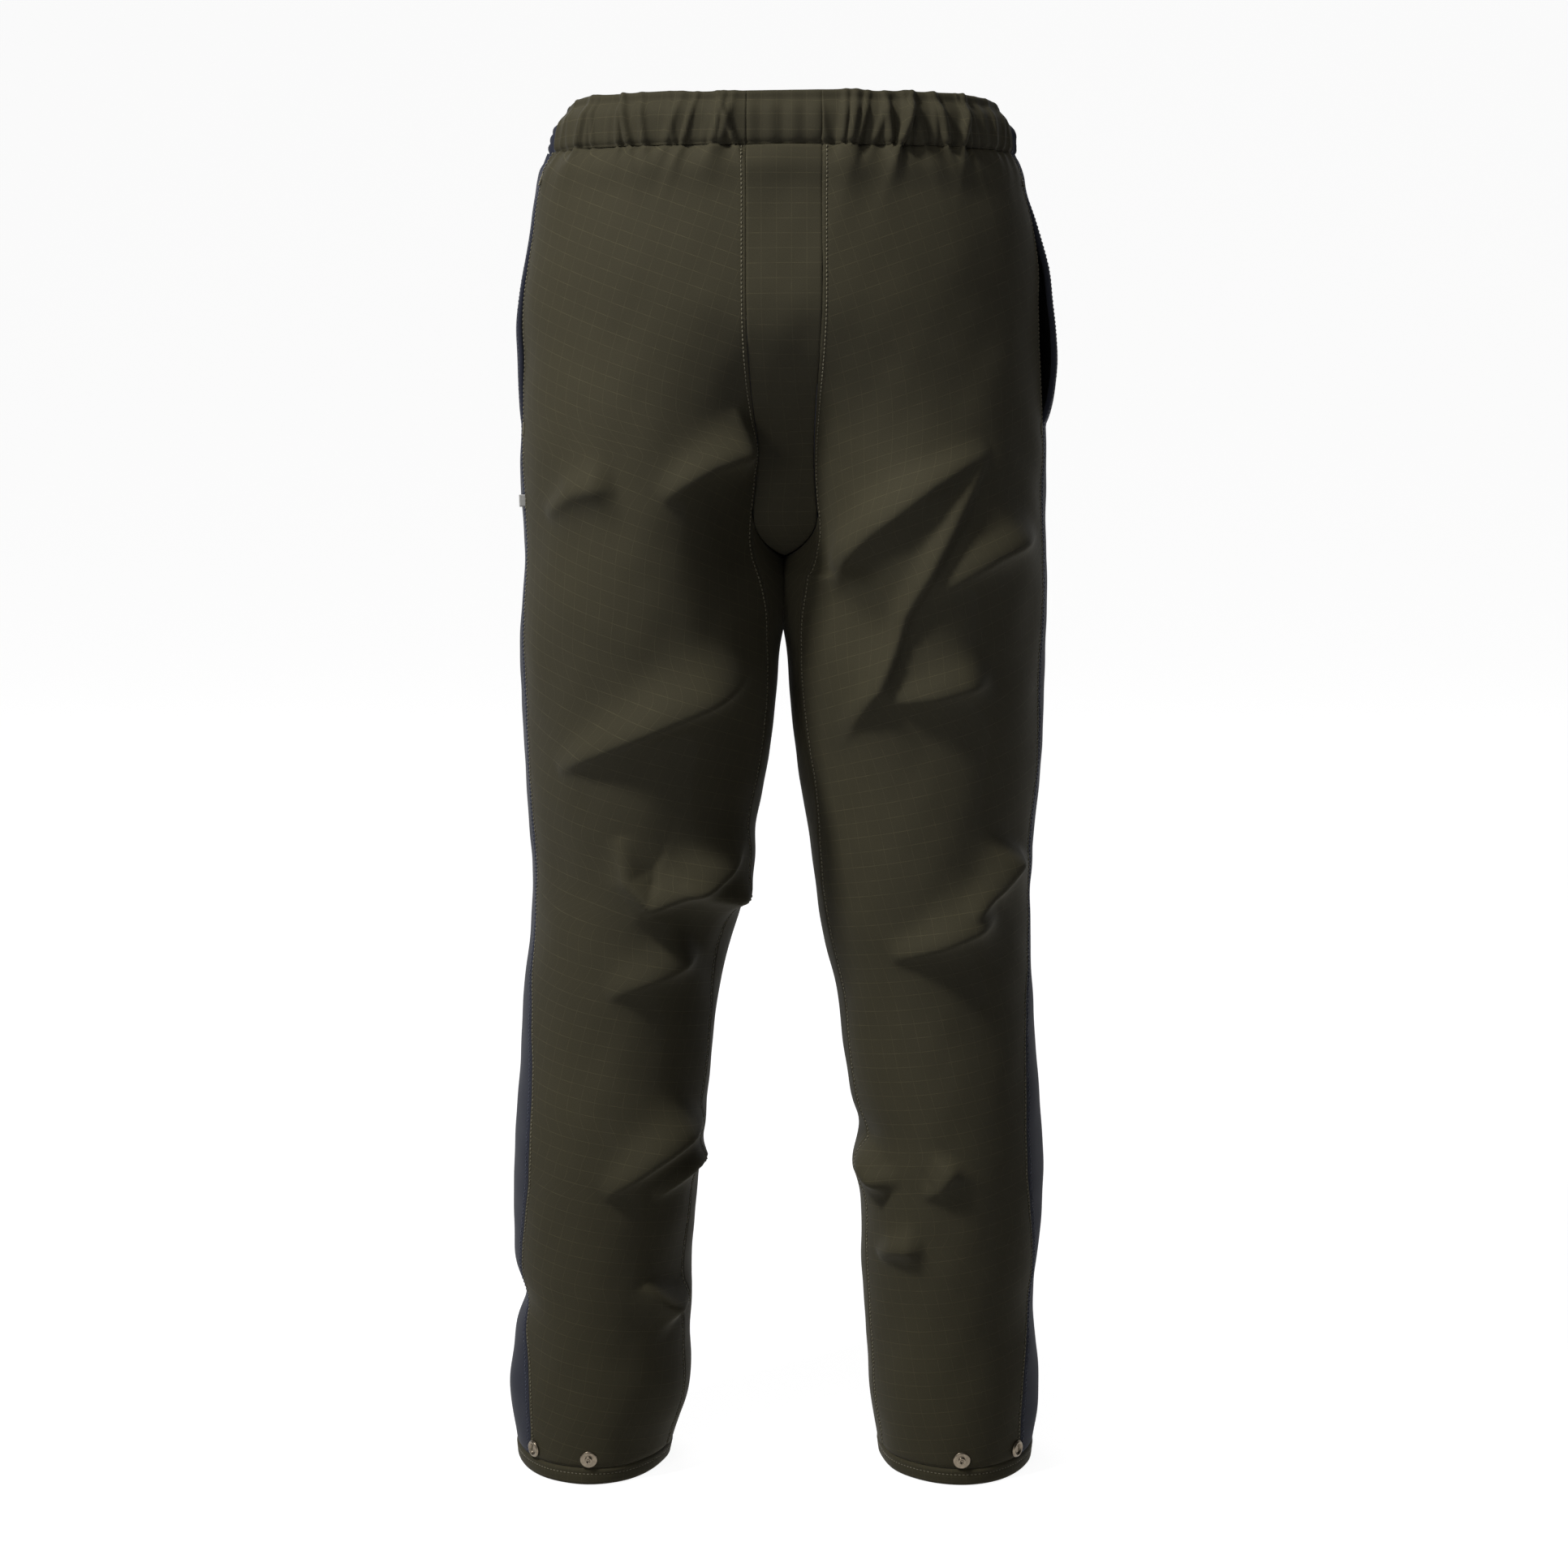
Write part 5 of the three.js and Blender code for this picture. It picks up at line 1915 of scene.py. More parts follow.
@dataclass
class SidePockets:
    """The slanted pockets: a facing behind each mouth, a bag and bar tacks."""

    cloth: Cloth
    bag_depth: float = 12
    near: float = 2.35
    facing_share: float = 0.2
    bag_share: float = 0.5
    bag_thickness: float = 0.6
    facing_thickness: float = 0.9
    tack_length: float = 9
    tack_width: float = 2.4
    tack_radius: float = 0.3

    def depth_at(self, z: Array) -> Array:
        """Return how deep the inner layer lies at each level.

        Args:
            z: levels.

        Returns:
            Depths in millimetres.
        """
        form = self.cloth.form
        end = np.minimum(-z - form.pocket_top, z + form.pocket_bottom)
        return mix(self.near + 1.3, self.bag_depth, smooth(end / 45))

    def turn_at(self, share: Array, z: Array) -> Array:
        """Return the turn at a share of the front panel's width."""
        seam = self.cloth.form.seam_turn(z)
        return mix(seam + self.cloth.seam_gap / 220, 1.0, share)

    def build(self) -> None:
        """Build both pockets."""
        form = self.cloth.form
        levels = np.linspace(-form.pocket_top, -form.pocket_bottom, 70)[:, None]
        for side in Side:
            self.build_bag(side, levels)
            self.build_facing(side, levels)
            for end, z in (("top", -form.pocket_top + 3), ("bottom", -form.pocket_bottom - 3)):
                self.build_tack(side, end, z)

    def build_bag(self, side: Side, levels: Array) -> None:
        """Build the folded bag: an outer layer against the panel and an inner one.

        Args:
            side: the side of the hips.
            levels: (n, 1) levels down the mouth.
        """
        cloth = self.cloth
        outer = np.linspace(0.012, self.bag_share, 44)
        inner = np.linspace(self.bag_share, self.facing_share + 0.004, 30)
        fold = np.linspace(0, math.pi, 9)[1:-1]
        shares = np.concatenate([outer, self.bag_share + 0.012 * np.sin(fold), inner])
        z = levels + 0 * shares
        turn = self.turn_at(shares[None, :], z)
        deep = self.depth_at(z)
        blend = np.concatenate([0 * outer, (1 - np.cos(fold)) / 2, 0 * inner + 1])[None, :]
        depth = mix(self.near - cloth.gape(side, turn, z), deep, blend)
        points = cloth.on_shell(side, turn, z, depth)
        uv = np.stack([run_lengths(points), z], -1)
        panel = (f"front_panel_{side.label}",)
        # The bag's near-black is partly its own colour and partly painted shade in the pocket
        # mouth.
        sheet = Sheet(f"pocket_bag_{side.label}", self.bag_thickness, BLACK, "folded", panel)
        sheet.build(points, uv, flip=side is Side.RIGHT)

    def build_facing(self, side: Side, levels: Array) -> None:
        """Build the facing that shows in the pocket's mouth.

        Args:
            side: the side of the hips.
            levels: (n, 1) levels down the mouth.
        """
        shares = np.linspace(0, self.facing_share - 0.004, 30)
        z = levels + 0 * shares
        turn = self.turn_at(shares[None, :], z)
        depth = mix(self.near + 1.3, self.depth_at(z), shares[None, :] / self.facing_share)
        points = self.cloth.on_shell(side, turn, z, depth)
        uv = np.stack([run_lengths(points), z], -1)
        panel = (f"back_panel_{side.label}",)
        # The facing is given near-black rather than navy: painted shade in the pocket mouth.
        sheet = Sheet(f"pocket_facing_{side.label}", self.facing_thickness, BLACK, "hung", panel)
        sheet.build(points, uv, flip=side is Side.RIGHT)

    def build_tack(self, side: Side, end: str, z: float) -> None:
        """Sew a bar tack, a dense zigzag of thread.

        Args:
            side: the side of the hips.
            end: the end of the pocket's mouth, for the name.
            z: its level.
        """
        cloth = self.cloth
        turn = float(cloth.form.seam_turn(z)) - 0.02
        at = cloth.on_shell(side, np.array([turn]), np.array([z]), -0.35)[0]
        normal = cloth.shell_normal(side, np.array([turn]), np.array([z]))[0]
        down = unit(np.array([0, 0, -1]) - normal * -normal[2])
        across = np.cross(normal, down)
        steps = np.linspace(-0.5, 0.5, 31)
        swing = np.where(np.arange(31) % 2, 0.5, -0.5) * self.tack_width
        path = at + down * (steps * self.tack_length)[:, None] + across * swing[:, None]
        parts = [
            tube([a, (a + b) / 2 + normal * 0.35, b], self.tack_radius, 6)
            for a, b in zip(path[:-1], path[1:])
        ]
        node = f"pocket_bar_tack_{end}_{side.label}"
        dress(join_parts(node, parts), OLIVE_THREAD, GARMENT, node)


def tube(path: Sequence[Array], radius: float, sides: int) -> tuple[Array, Array]:
    """Return a closed tube along a path.

    Args:
        path: points in millimetres.
        radius: the tube's radius.
        sides: sides of its section.

    Returns:
        Points and quads, its ends drawn to a point.
    """
    line = np.array(path, float)
    along = unit(np.gradient(line, axis=0))
    guide = np.array([0.0, 0.0, 1.0]) if abs(along[0][2]) < 0.9 else np.array([1.0, 0.0, 0.0])
    u = unit(np.cross(along, guide))
    v = np.cross(along, u)
    angle = np.linspace(0, 2 * math.pi, sides, endpoint=False)
    ring = u[:, None] * np.cos(angle)[None, :, None] + v[:, None] * np.sin(angle)[None, :, None]
    body = line[:, None] + ring * radius
    first = np.repeat(line[:1][None], sides, axis=1)
    last = np.repeat(line[-1:][None], sides, axis=1)
    points = np.concatenate([first, body, last]).reshape(-1, 3)
    return points, grid_faces(len(line) + 2, sides, wrap=True)


# ---------------------------------------------------------------- saw pads


@dataclass
class SawPads:
    """The saw pads in the leg fronts, with their linings."""

    cloth: Cloth
    top: float = -250
    bottom: float = -988
    near: float = 2.5
    thickness: float = 5.0
    width: float = 240
    lining_thickness: float = 0.8
    hold_above: float = 0.35
    share_from: float = 0.1
    share_to: float = 0.9
    quilt_across: int = 3
    quilt_down: int = 9
    swell_cap: float = 2.2
    frames: int = 20

    def grid(self, step: float) -> tuple[Array, Array, Array]:
        """Return turns, levels and the shares across a pad's grid.

        Args:
            step: distance between points, millimetres.

        Returns:
            Turns, levels and shares.
        """
        rows = int((self.top - self.bottom) / step)
        z = np.linspace(self.top, self.bottom, rows)[:, None]
        share = np.linspace(self.share_from, self.share_to, int(self.width / step))[None, :]
        seam = self.cloth.form.seam_turn(z)
        return mix(seam, 1.0, share), z + 0 * share, share + 0 * z

    def build(self) -> None:
        """Build both pads and linings."""
        for side in Side:
            self.build_pad(side)
            self.build_lining(side)

    @staticmethod
    def to_quilting(share: Array, count: int, size: float) -> Array:
        """Return the distance to the nearest of a number of quilting lines across a size."""
        return np.abs(np.mod(share * count + 0.5, 1) - 0.5) * size / count

    def build_pad(self, side: Side) -> None:
        """Build one pad: its fibre pack swells between the quilting lines.

        Args:
            side: the leg.
        """
        turn, z, share = self.grid(6.0)
        length = self.top - self.bottom
        across = (share - self.share_from) / (self.share_to - self.share_from)
        down = (self.top - z) / length
        line = np.minimum(
            self.to_quilting(across, self.quilt_across, self.width),
            self.to_quilting(down, self.quilt_down, length),
        )
        edge = np.minimum(across, 1 - across) * self.width
        edge = np.minimum(edge, np.minimum(down, 1 - down) * length)
        pinch = np.maximum(bell(line, 7.0), bell(edge, 5.0))
        face = self.cloth.on_shell(side, turn, z, self.near + 0.6 + 1.2 * pinch)
        back = self.cloth.on_shell(side, turn, z, self.near + self.thickness - 0.6 - 1.2 * pinch)
        points = np.concatenate([face.reshape(-1, 3), back.reshape(-1, 3)])
        faces = self.closed_faces(*turn.shape)
        if side is Side.RIGHT:
            faces = faces[:, ::-1]
        piece = new_object(f"saw_pad_{side.label}", points, faces)
        self.swell(piece, np.concatenate([pinch.ravel(), pinch.ravel()]))
        flat = np.stack([across * self.width, down * length], -1).reshape(-1, 2)
        lay_cloth(piece, np.concatenate([flat, flat]))
        smoothing = piece.modifiers.new("soften", "SUBSURF")
        smoothing.levels = smoothing.render_levels = 1
        dress(piece, PAD, GARMENT, f"saw_pad_{side.label}")

    @staticmethod
    def closed_faces(rows: int, columns: int) -> Array:
        """Return the faces of a pad: its two faces' grids and the wall between them.

        Args:
            rows: rows of each grid.
            columns: columns of each grid.

        Returns:
            (n, 4) vertex numbers.
        """
        number = rows * columns
        front = grid_faces(rows, columns)
        rim = np.concatenate(
            [
                np.arange(columns),
                np.arange(1, rows) * columns + columns - 1,
                (rows - 1) * columns + np.arange(columns - 2, -1, -1),
                np.arange(rows - 2, 0, -1) * columns,
            ]
        )
        after = np.roll(rim, -1)
        wall = np.stack([rim, rim + number, after + number, after], -1)
        return np.concatenate([front, front[:, ::-1] + number, wall])

    def swell(self, piece: bpy.types.Object, pinch: Array) -> None:
        """Let the pad swell as cloth under pressure, held at its quilting, then keep the result.

        Args:
            piece: the pad.
            pinch: how firmly each point is held, 0 to 1.
        """
        start = np.array([v.co for v in piece.data.vertices])
        held = piece.vertex_groups.new(name="held")
        for i, weight in enumerate(pinch):
            if weight > self.hold_above:
                held.add([i], 1.0, "REPLACE")
        cloth = piece.modifiers.new("stuffing", "CLOTH")
        cloth.settings.vertex_group_mass = "held"
        cloth.settings.use_pressure = True
        cloth.settings.uniform_pressure_force = 4.0
        cloth.settings.effector_weights.gravity = 0
        cloth.settings.quality = 4
        cloth.settings.tension_stiffness = 15
        cloth.collision_settings.use_collision = False
        scene = bpy.context.scene
        for frame in range(1, self.frames + 1):
            scene.frame_set(frame)
        shaped = piece.evaluated_get(bpy.context.evaluated_depsgraph_get())
        end = np.array([v.co for v in shaped.data.vertices])
        move = end - start
        size = np.linalg.norm(move, axis=1, keepdims=True)
        cap = self.swell_cap * MM
        move *= np.minimum(1, cap / np.maximum(size, 1e-9))
        piece.modifiers.remove(cloth)
        piece.vertex_groups.clear()
        piece.data.vertices.foreach_set("co", (start + move).ravel())
        piece.data.update()
        scene.frame_set(1)
        log.info("%s swelled, most %.1f mm", piece.name, float(size.max()) / MM)

    def build_lining(self, side: Side) -> None:
        """Build the knitted lining behind a pad.

        Args:
            side: the leg.
        """
        turn, z, _ = self.grid(4.5)
        points = self.cloth.on_shell(side, turn, z, self.near + self.thickness + 1.0)
        uv = np.stack([run_lengths(points), z], -1)
        panel = (f"back_panel_{side.label}",)
        sheet = Sheet(f"pad_lining_{side.label}", self.lining_thickness, KNIT, "hung", panel)
        sheet.build(points, uv, flip=side is Side.RIGHT)


# ---------------------------------------------------------------- press studs


@dataclass
class PressStud:
    """One press-stud set: a ring socket or a stud, with the cap on the cloth's other side."""

    radius: float = 6.6
    ring_bore: float = 3.6
    ring_height: float = 2.2
    flange: float = 1.1
    post: float = 1.8
    seat: float = 0.2

    def socket(self, cloth: float) -> list[tuple[Array, Array]]:
        """Return a ring socket's shells: the rolled ring with its post, and the spring wires.

        Args:
            cloth: thickness of the cloth, millimetres.

        Returns:
            Points in millimetres and quads of each shell.
        """
        r, b, h, s = self.radius, self.ring_bore, self.ring_height, self.seat
        outline = [(0, -cloth - 0.3), (self.post, -cloth - 0.3), (self.post, s), (r - 0.5, s)]
        outline += [
            (r - 0.5 + 0.5 * math.cos(a), s + 0.6 + 0.6 * math.sin(a))
            for a in np.linspace(-math.pi / 2, math.pi / 3, 6)
        ]
        outline += [
            (r - 1.5 + 1.2 * math.cos(a), s + h - 1.2 + 1.2 * math.sin(a))
            for a in np.linspace(0.1, math.pi * 0.9, 9)
        ]
        outline += [(b + 0.25, s + h - 0.9), (b, s + h - 1.2), (b, s + 0.7)]
        outline += [(b - 0.6, s + 0.45), (0, s + 0.45)]
        parts = [revolve(outline)]
        for sign in (-1, 1):
            curve = [
                (sign * (b * 0.62 + 0.25 * math.cos(t * 3)), t * b * 0.88, s + h - 1.25)
                for t in np.linspace(-1, 1, 15)
            ]
            parts.append(tube(curve, 0.33, 8))
        return parts

    def stud(self, cloth: float) -> list[tuple[Array, Array]]:
        """Return a stud's shell: flange, waisted nose and the hollow in its tip.

        Args:
            cloth: thickness of the cloth, millimetres.

        Returns:
            Points in millimetres and quads of each shell.
        """
        r, s, f = self.radius, self.seat, self.flange
        outline = [(0, -cloth - 0.3), (self.post, -cloth - 0.3), (self.post, s), (r - 0.3, s)]
        outline += [(r, s + 0.25), (r - 0.15, s + 0.6), (r - 0.9, s + f)]
        outline += [(4.4, s + f - 0.1), (3.1, s + f - 0.2), (2.5, s + f + 0.35), (2.6, s + f + 0.8)]
        outline += [(3.0, s + f + 1.3), (2.85, s + f + 1.75), (2.2, s + f + 2.0)]
        outline += [(1.5, s + f + 1.8), (1.25, s + f + 1.0), (0, s + f + 0.9)]
        return [revolve(outline)]

    def backing(self, cloth: float) -> list[tuple[Array, Array]]:
        """Return the cap on the cloth's inner side.

        Args:
            cloth: thickness of the cloth, millimetres.

        Returns:
            Points in millimetres and quads of each shell.
        """
        r = self.radius
        top = -cloth - 0.25
        outline = [(0, top), (r - 0.3, top), (r, top - 0.3), (r - 0.2, top - 0.75)]
        outline += [(r - 1.2, top - 1.15), (r - 2.4, top - 1.3), (r - 3.2, top - 1.05)]
        outline += [(0, top - 1.0)]
        return [revolve(outline)]

    def cap(self) -> list[tuple[Array, Array]]:
        """Return a domed outer cap, its underside at height 0.

        Returns:
            Points in millimetres and quads of each shell.
        """
        r = self.radius + 0.9
        outline = [(0, 0), (r - 0.4, 0), (r, 0.3), (r - 0.1, 0.7), (r - 0.8, 1.15), (r - 1.4, 1.2)]
        outline += [(r - 1.9, 1.1), (r - 2.6, 1.35), (r - 4.2, 1.75), (0, 1.95)]
        return [revolve(outline)]


@dataclass
class HemSnaps:
    """The press studs that take in each hem."""

    cloth: Cloth
    height: float = 21
    stud_angle: float = math.radians(-88.5)
    socket_angle: float = math.radians(-42.7)
    cloth_depth: float = 1.2
    spin: float = 0.4
    part: PressStud = field(default_factory=PressStud)

    def place(self, side: Side, angle: float) -> Matrix:
        """Return where a press stud stands on the back panel.

        Args:
            side: the leg.
            angle: how far round the leg, radians, negative behind.

        Returns:
            The stud's matrix.
        """
        level = np.array([-self.cloth.form.outseam + self.height])
        turn = angle / (math.pi - self.cloth.form.gusset_half(level))
        at = self.cloth.on_shell(side, turn, level)[0]
        normal = self.cloth.shell_normal(side, turn, level)[0]
        return standing(at, normal, self.spin * side.value)

    def build(self) -> None:
        """Build the studs, sockets and caps at both hems."""
        backing = self.part.backing(self.cloth_depth)
        for side in Side:
            for word, angle, shells in (
                ("stud", self.stud_angle, self.part.stud(self.cloth_depth)),
                ("socket", self.socket_angle, self.part.socket(self.cloth_depth)),
            ):
                place = self.place(side, angle)
                for suffix, parts in (("", shells), ("_backing", backing)):
                    name = f"hem_snap_{word}{suffix}_{side.label}"
                    piece = join_parts(name, parts)
                    piece.matrix_world = place
                    dress(piece, SNAP_METAL, GARMENT, name)


# ---------------------------------------------------------------- labels


@dataclass
class Labels:
    """The blank size tab in the left side seam and the blank care label in the waist."""

    cloth: Cloth
    tab_out: float = 4.6
    tab_height: float = 9
    tab_level: float = -292
    tab_thickness: float = 0.35

    def build(self) -> None:
        """Build both labels."""
        self.build_tab()
        self.build_care_label()

    def build_tab(self) -> None:
        """Build the folded white tab that stands out of the side seam."""
        form, cloth = self.cloth.form, self.cloth
        turn = float(form.seam_turn(self.tab_level)) + 0.002
        half = self.tab_height / 2
        z = np.linspace(self.tab_level - half, self.tab_level + half, 12)
        root = cloth.on_shell(Side.LEFT, turn, z, 0.6)
        normal = cloth.shell_normal(Side.LEFT, turn, z)
        lean = np.array([0.0, -0.25, 0.0])
        out = np.linspace(0, 1, 9)
        loop = []
        for sign in (1, -1):
            for o in out if sign > 0 else out[::-1]:
                gape = sign * (0.25 + 0.25 * math.sin(math.pi * o)) * (1 - o * 0.9)
                shift = normal * (self.tab_out * o) + lean * (o * o * self.tab_out * 0.5)
                loop.append(root + shift + np.array([0, gape, 0]))
        points = np.array(loop)
        uv = np.stack(np.broadcast_arrays(np.arange(18)[:, None] * 0.6, z[None, :]), -1)
        piece = grid_object("side_label_left", points, uv)
        thicken(piece, self.tab_thickness)
        dress(piece, LABEL, GARMENT, "side_label_left")

    def build_care_label(self) -> None:
        """Build the blank label that hangs inside the back of the waist."""
        low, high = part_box("care_label")
        x = np.linspace(low.x, high.x, 24) / MM
        z = np.linspace(high.z, low.z, 40) / MM
        gx, gz = np.meshgrid(x, z)
        drop = (gz[0, 0] - gz) / (gz[0, 0] - gz[-1, 0])
        y = (low.y + high.y) / 2 / MM + 0.9 * np.sin(gx / 9 + drop) * drop + 1.5 * drop**2
        points = np.stack([gx, y, gz], -1)
        strip = ("waist_casing_strip",)
        sheet = Sheet("care_label", self.tab_thickness, LABEL, "hung", strip)
        sheet.build(points, np.stack([gx, gz], -1), flip=True)


# ---------------------------------------------------------------- zip


@dataclass
class FrontZip:
    """The front zip on its straight line: tapes, teeth, stops, slider, pull and shield."""

    form: BodyForm
    tape_edge: float = 3.95
    tape_width: float = 12
    tape_out: float = -2.75
    tape_thickness: float = 0.75
    tooth_tip: float = 0.85
    tooth_root: float = 3.6
    tooth_out: float = -1.2
    tooth_in: float = -3.4
    pitch: float = 2.8
    stop_height: float = 3
    top: float = -40.5
    bottom: float = -196
    slider_half: float = 5.1
    slider_length: float = 9
    pull_half: float = 3.2
    pull_length: float = 26
    shield_half: float = 22
    shield_thickness: float = 0.9

    def __post_init__(self) -> None:
        """Work out the chain's levels and the front line's frame."""
        tilt = math.atan(self.form.front_gain / self.form.fly_length)
        line_top = Matrix.Translation((0, self.form.waist_depth * MM, 0))
        self.frame = line_top @ Matrix.Rotation(tilt, 4, "X")
        self.chain_top = self.top - self.stop_height - 0.35
        self.chain_bottom = self.bottom + self.stop_height + 0.35
        self.slider_top = self.chain_top - 0.6
        self.slider_mid = self.slider_top - self.slider_length / 2

    def place(
        self, piece: bpy.types.Object, finish: ClothFinish | MetalFinish, body: str, node: str
    ) -> None:
        """Put a piece made in the front line's frame in its place and dress it."""
        piece.matrix_world = self.frame
        dress(piece, finish, body, node)

    @staticmethod
    def slab(
        x: tuple[float, float], y: tuple[float, float], z: tuple[float, float]
    ) -> tuple[Array, Array]:
        """Return a block between two corners.

        Args:
            x: its two ends along X.
            y: its two ends along Y.
            z: its two ends along Z.

        Returns:
            Points in millimetres and quads.
        """
        corners = np.array([(a, b, c) for c in z for b in y for a in x], float)
        faces = [(0, 2, 3, 1), (4, 5, 7, 6), (0, 1, 5, 4), (2, 6, 7, 3), (0, 4, 6, 2), (1, 3, 7, 5)]
        return corners, np.array(faces)

    def build(self) -> None:
        """Build the zip's pieces."""
        for side in Side:
            self.build_tape(side)
            self.build_teeth(side)
        stops = [
            ("zip_top_stop_left", (-self.tooth_root, -self.tooth_tip), self.top - self.stop_height),
            ("zip_top_stop_right", (self.tooth_tip, self.tooth_root), self.top - self.stop_height),
            ("zip_bottom_stop", (-self.tooth_root, self.tooth_root), self.bottom),
        ]
        for name, x, z in stops:
            block = self.slab(x, (self.tooth_in, self.tooth_out), (z, z + self.stop_height))
            piece = join_parts(name, [block])
            rounded(piece, 0.5, 3)
            self.place(piece, ZIP_METAL, GARMENT, name)
        self.build_slider()
        self.build_pull()
        self.build_shield()

    def build_tape(self, side: Side) -> None:
        """Build one woven tape, a little waved at its free edge.

        Args:
            side: the side of the zip.
        """
        x = np.linspace(self.tape_edge, self.tape_edge + self.tape_width, 14)
        z = np.linspace(self.top, self.bottom, 120)
        gx, gz = np.meshgrid(x, z)
        away = (gx - self.tape_edge) / self.tape_width
        y = self.tape_out - 0.25 * away + 0.12 * np.sin(gz / 7) * away
        points = np.stack([side.value * gx, y, gz], -1)
        uv = np.stack([gx, gz], -1)
        piece = grid_object(f"zip_tape_{side.label}", points, uv, flip=side is Side.LEFT)
        thicken(piece, self.tape_thickness - 0.3)
        self.place(piece, TAPE, GARMENT, f"zip_tape_{side.label}")

    def build_teeth(self, side: Side) -> None:
        """Build one row of teeth on its cord.

        Args:
            side: the side of the zip.
        """
        y = (self.tooth_in + 0.25, self.tooth_out - 0.25)
        middle = (y[0] + y[1]) / 2
        levels = np.arange(self.chain_top - 0.9, self.chain_bottom + 0.8, -self.pitch)
        if side is Side.LEFT:
            levels = levels - self.pitch / 2
            levels = levels[levels > self.chain_bottom + 0.7]
        half = [(-0.55, 0.62), (0.6, 0.95), (2.2, 0.6), (3.2, 0.75)]
        head = half + [(3.3, -0.75)] + [(hx, -hz) for hx, hz in half[2::-1]]
        count = len(head)
        walls = [(a, (a + 1) % count, (a + 1) % count + count, a + count) for a in range(count)]
        caps = [(0, 1, 6, 7), (1, 2, 5, 6), (2, 3, 4, 5)]
        lids = [tuple(count + c for c in reversed(cap)) for cap in caps]
        faces = np.array([*walls, *caps, *lids])
        parts = []
        for z in levels:
            ring = np.array([(side.value * hx, 0, z + hz) for hx, hz in head])
            front, back = ring + [0, y[1], 0], ring + [0, y[0], 0]
            parts.append((np.concatenate([front, back]), faces))
        edge = side.value * (self.tooth_root - 0.2)
        cord = [(edge, middle, z) for z in np.linspace(self.chain_top, self.chain_bottom, 60)]
        parts.append(tube(cord, 0.8, 10))
        piece = join_parts(f"zip_teeth_{side.label}", parts)
        rounded(piece, 0.14)
        self.place(piece, ZIP_METAL, GARMENT, f"zip_teeth_{side.label}")

    def build_slider(self) -> None:
        """Build the slider: two shield-shaped plates, their post and the bridge for the pull."""
        half, top = self.slider_half, self.slider_top
        low = top - self.slider_length
        outline = [(-half, top - 1.2), (-half + 1.4, top), (-1.0, top), (0, top - 1.0), (1.0, top)]
        outline += [(half - 1.4, top), (half, top - 1.2), (half - 0.5, low + 2.4)]
        outline += [(half - 1.3, low), (-half + 1.3, low), (-half + 0.5, low + 2.4)]
        parts = [self.plate(outline, 0.85, -0.8), self.plate(outline, -3.8, -4.8)]
        mid = self.slider_mid
        parts.append(self.slab((-0.5, 0.5), (-4.4, -0.4), (mid - 3, mid + 3)))
        arch = [(0, 0.5, top - 0.8), (0, 2.4, top - 0.7), (0, 3.5, top - 1.5), (0, 3.6, mid)]
        arch += [(0, 3.2, mid - 1.8), (0, 2.2, mid - 2.3), (0, 0.5, mid - 2.2)]
        parts.append(tube(resample(np.array(arch), 40), 0.62, 10))
        piece = join_parts("zip_slider", parts)
        rounded(piece, 0.28, 3)
        self.place(piece, ZIP_METAL, SLIDER, "zip_slider")

    @staticmethod
    def plate(
        outline: Sequence[tuple[float, float]], y0: float, y1: float
    ) -> tuple[Array, Array]:
        """Return a flat plate between two depths.

        Args:
            outline: its outline in x and z.
            y0: depth of one face.
            y1: depth of the other.

        Returns:
            Points in millimetres and quads.
        """
        count = len(outline)
        ring = np.array([(x, 0, z) for x, z in outline])
        first, second = np.array([0, y0, 0]), np.array([0, y1, 0])
        centre = ring.mean(axis=0)
        points = np.concatenate([ring + first, ring + second, [centre + first, centre + second]])
        faces = []
        for a in range(count):
            b = (a + 1) % count
            faces.append((a, b, b + count, a + count))
            faces.append((b, a, 2 * count, 2 * count))
            faces.append((a + count, b + count, 2 * count + 1, 2 * count + 1))
        return points, np.array(faces)

    def build_pull(self) -> None:
        """Build the pull: a stamped tag with an eye round the bridge."""
        out, up = 2.1, self.slider_mid + 1
        thick, count = 0.55, 48
        reach = (self.pull_length + 0.9) / 2
        middle = up + 0.9 - reach
        eye_high, eye_low = up - 0.55, up - 6.8
        eye_reach, eye_middle = (eye_high - eye_low) / 2, (eye_high + eye_low) / 2
        outer, inner = [], []
        for a in np.linspace(0, 2 * math.pi, count, endpoint=False):
            c, s = math.cos(a), math.sin(a)
            squarish = (abs(c) ** 5 + abs(s) ** 5) ** -0.2
            waist = 1 - 0.16 * math.exp(-(((reach * s * squarish + 4) / 6) ** 2))
            outer.append((self.pull_half * c * squarish * waist, middle + reach * s * squarish))
            round_eye = (abs(c) ** 3 + abs(s) ** 3) ** (-1 / 3)
            inner.append((1.75 * c * round_eye, eye_middle + eye_reach * s * round_eye))
        rings = [(outer, thick), (outer, -thick), (inner, -thick), (inner, thick)]
        points = np.array([(x, out + y, z) for ring, y in rings for x, z in ring])
        faces = []
        for r in range(4):
            for a in range(count):
                b = (a + 1) % count
                n = (r + 1) % 4
                faces.append((r * count + a, r * count + b, n * count + b, n * count + a))
        piece = join_parts("zip_pull", [(points, np.array(faces))])
        rounded(piece, 0.25, 2)
        self.place(piece, ZIP_METAL, PULL, "zip_pull")

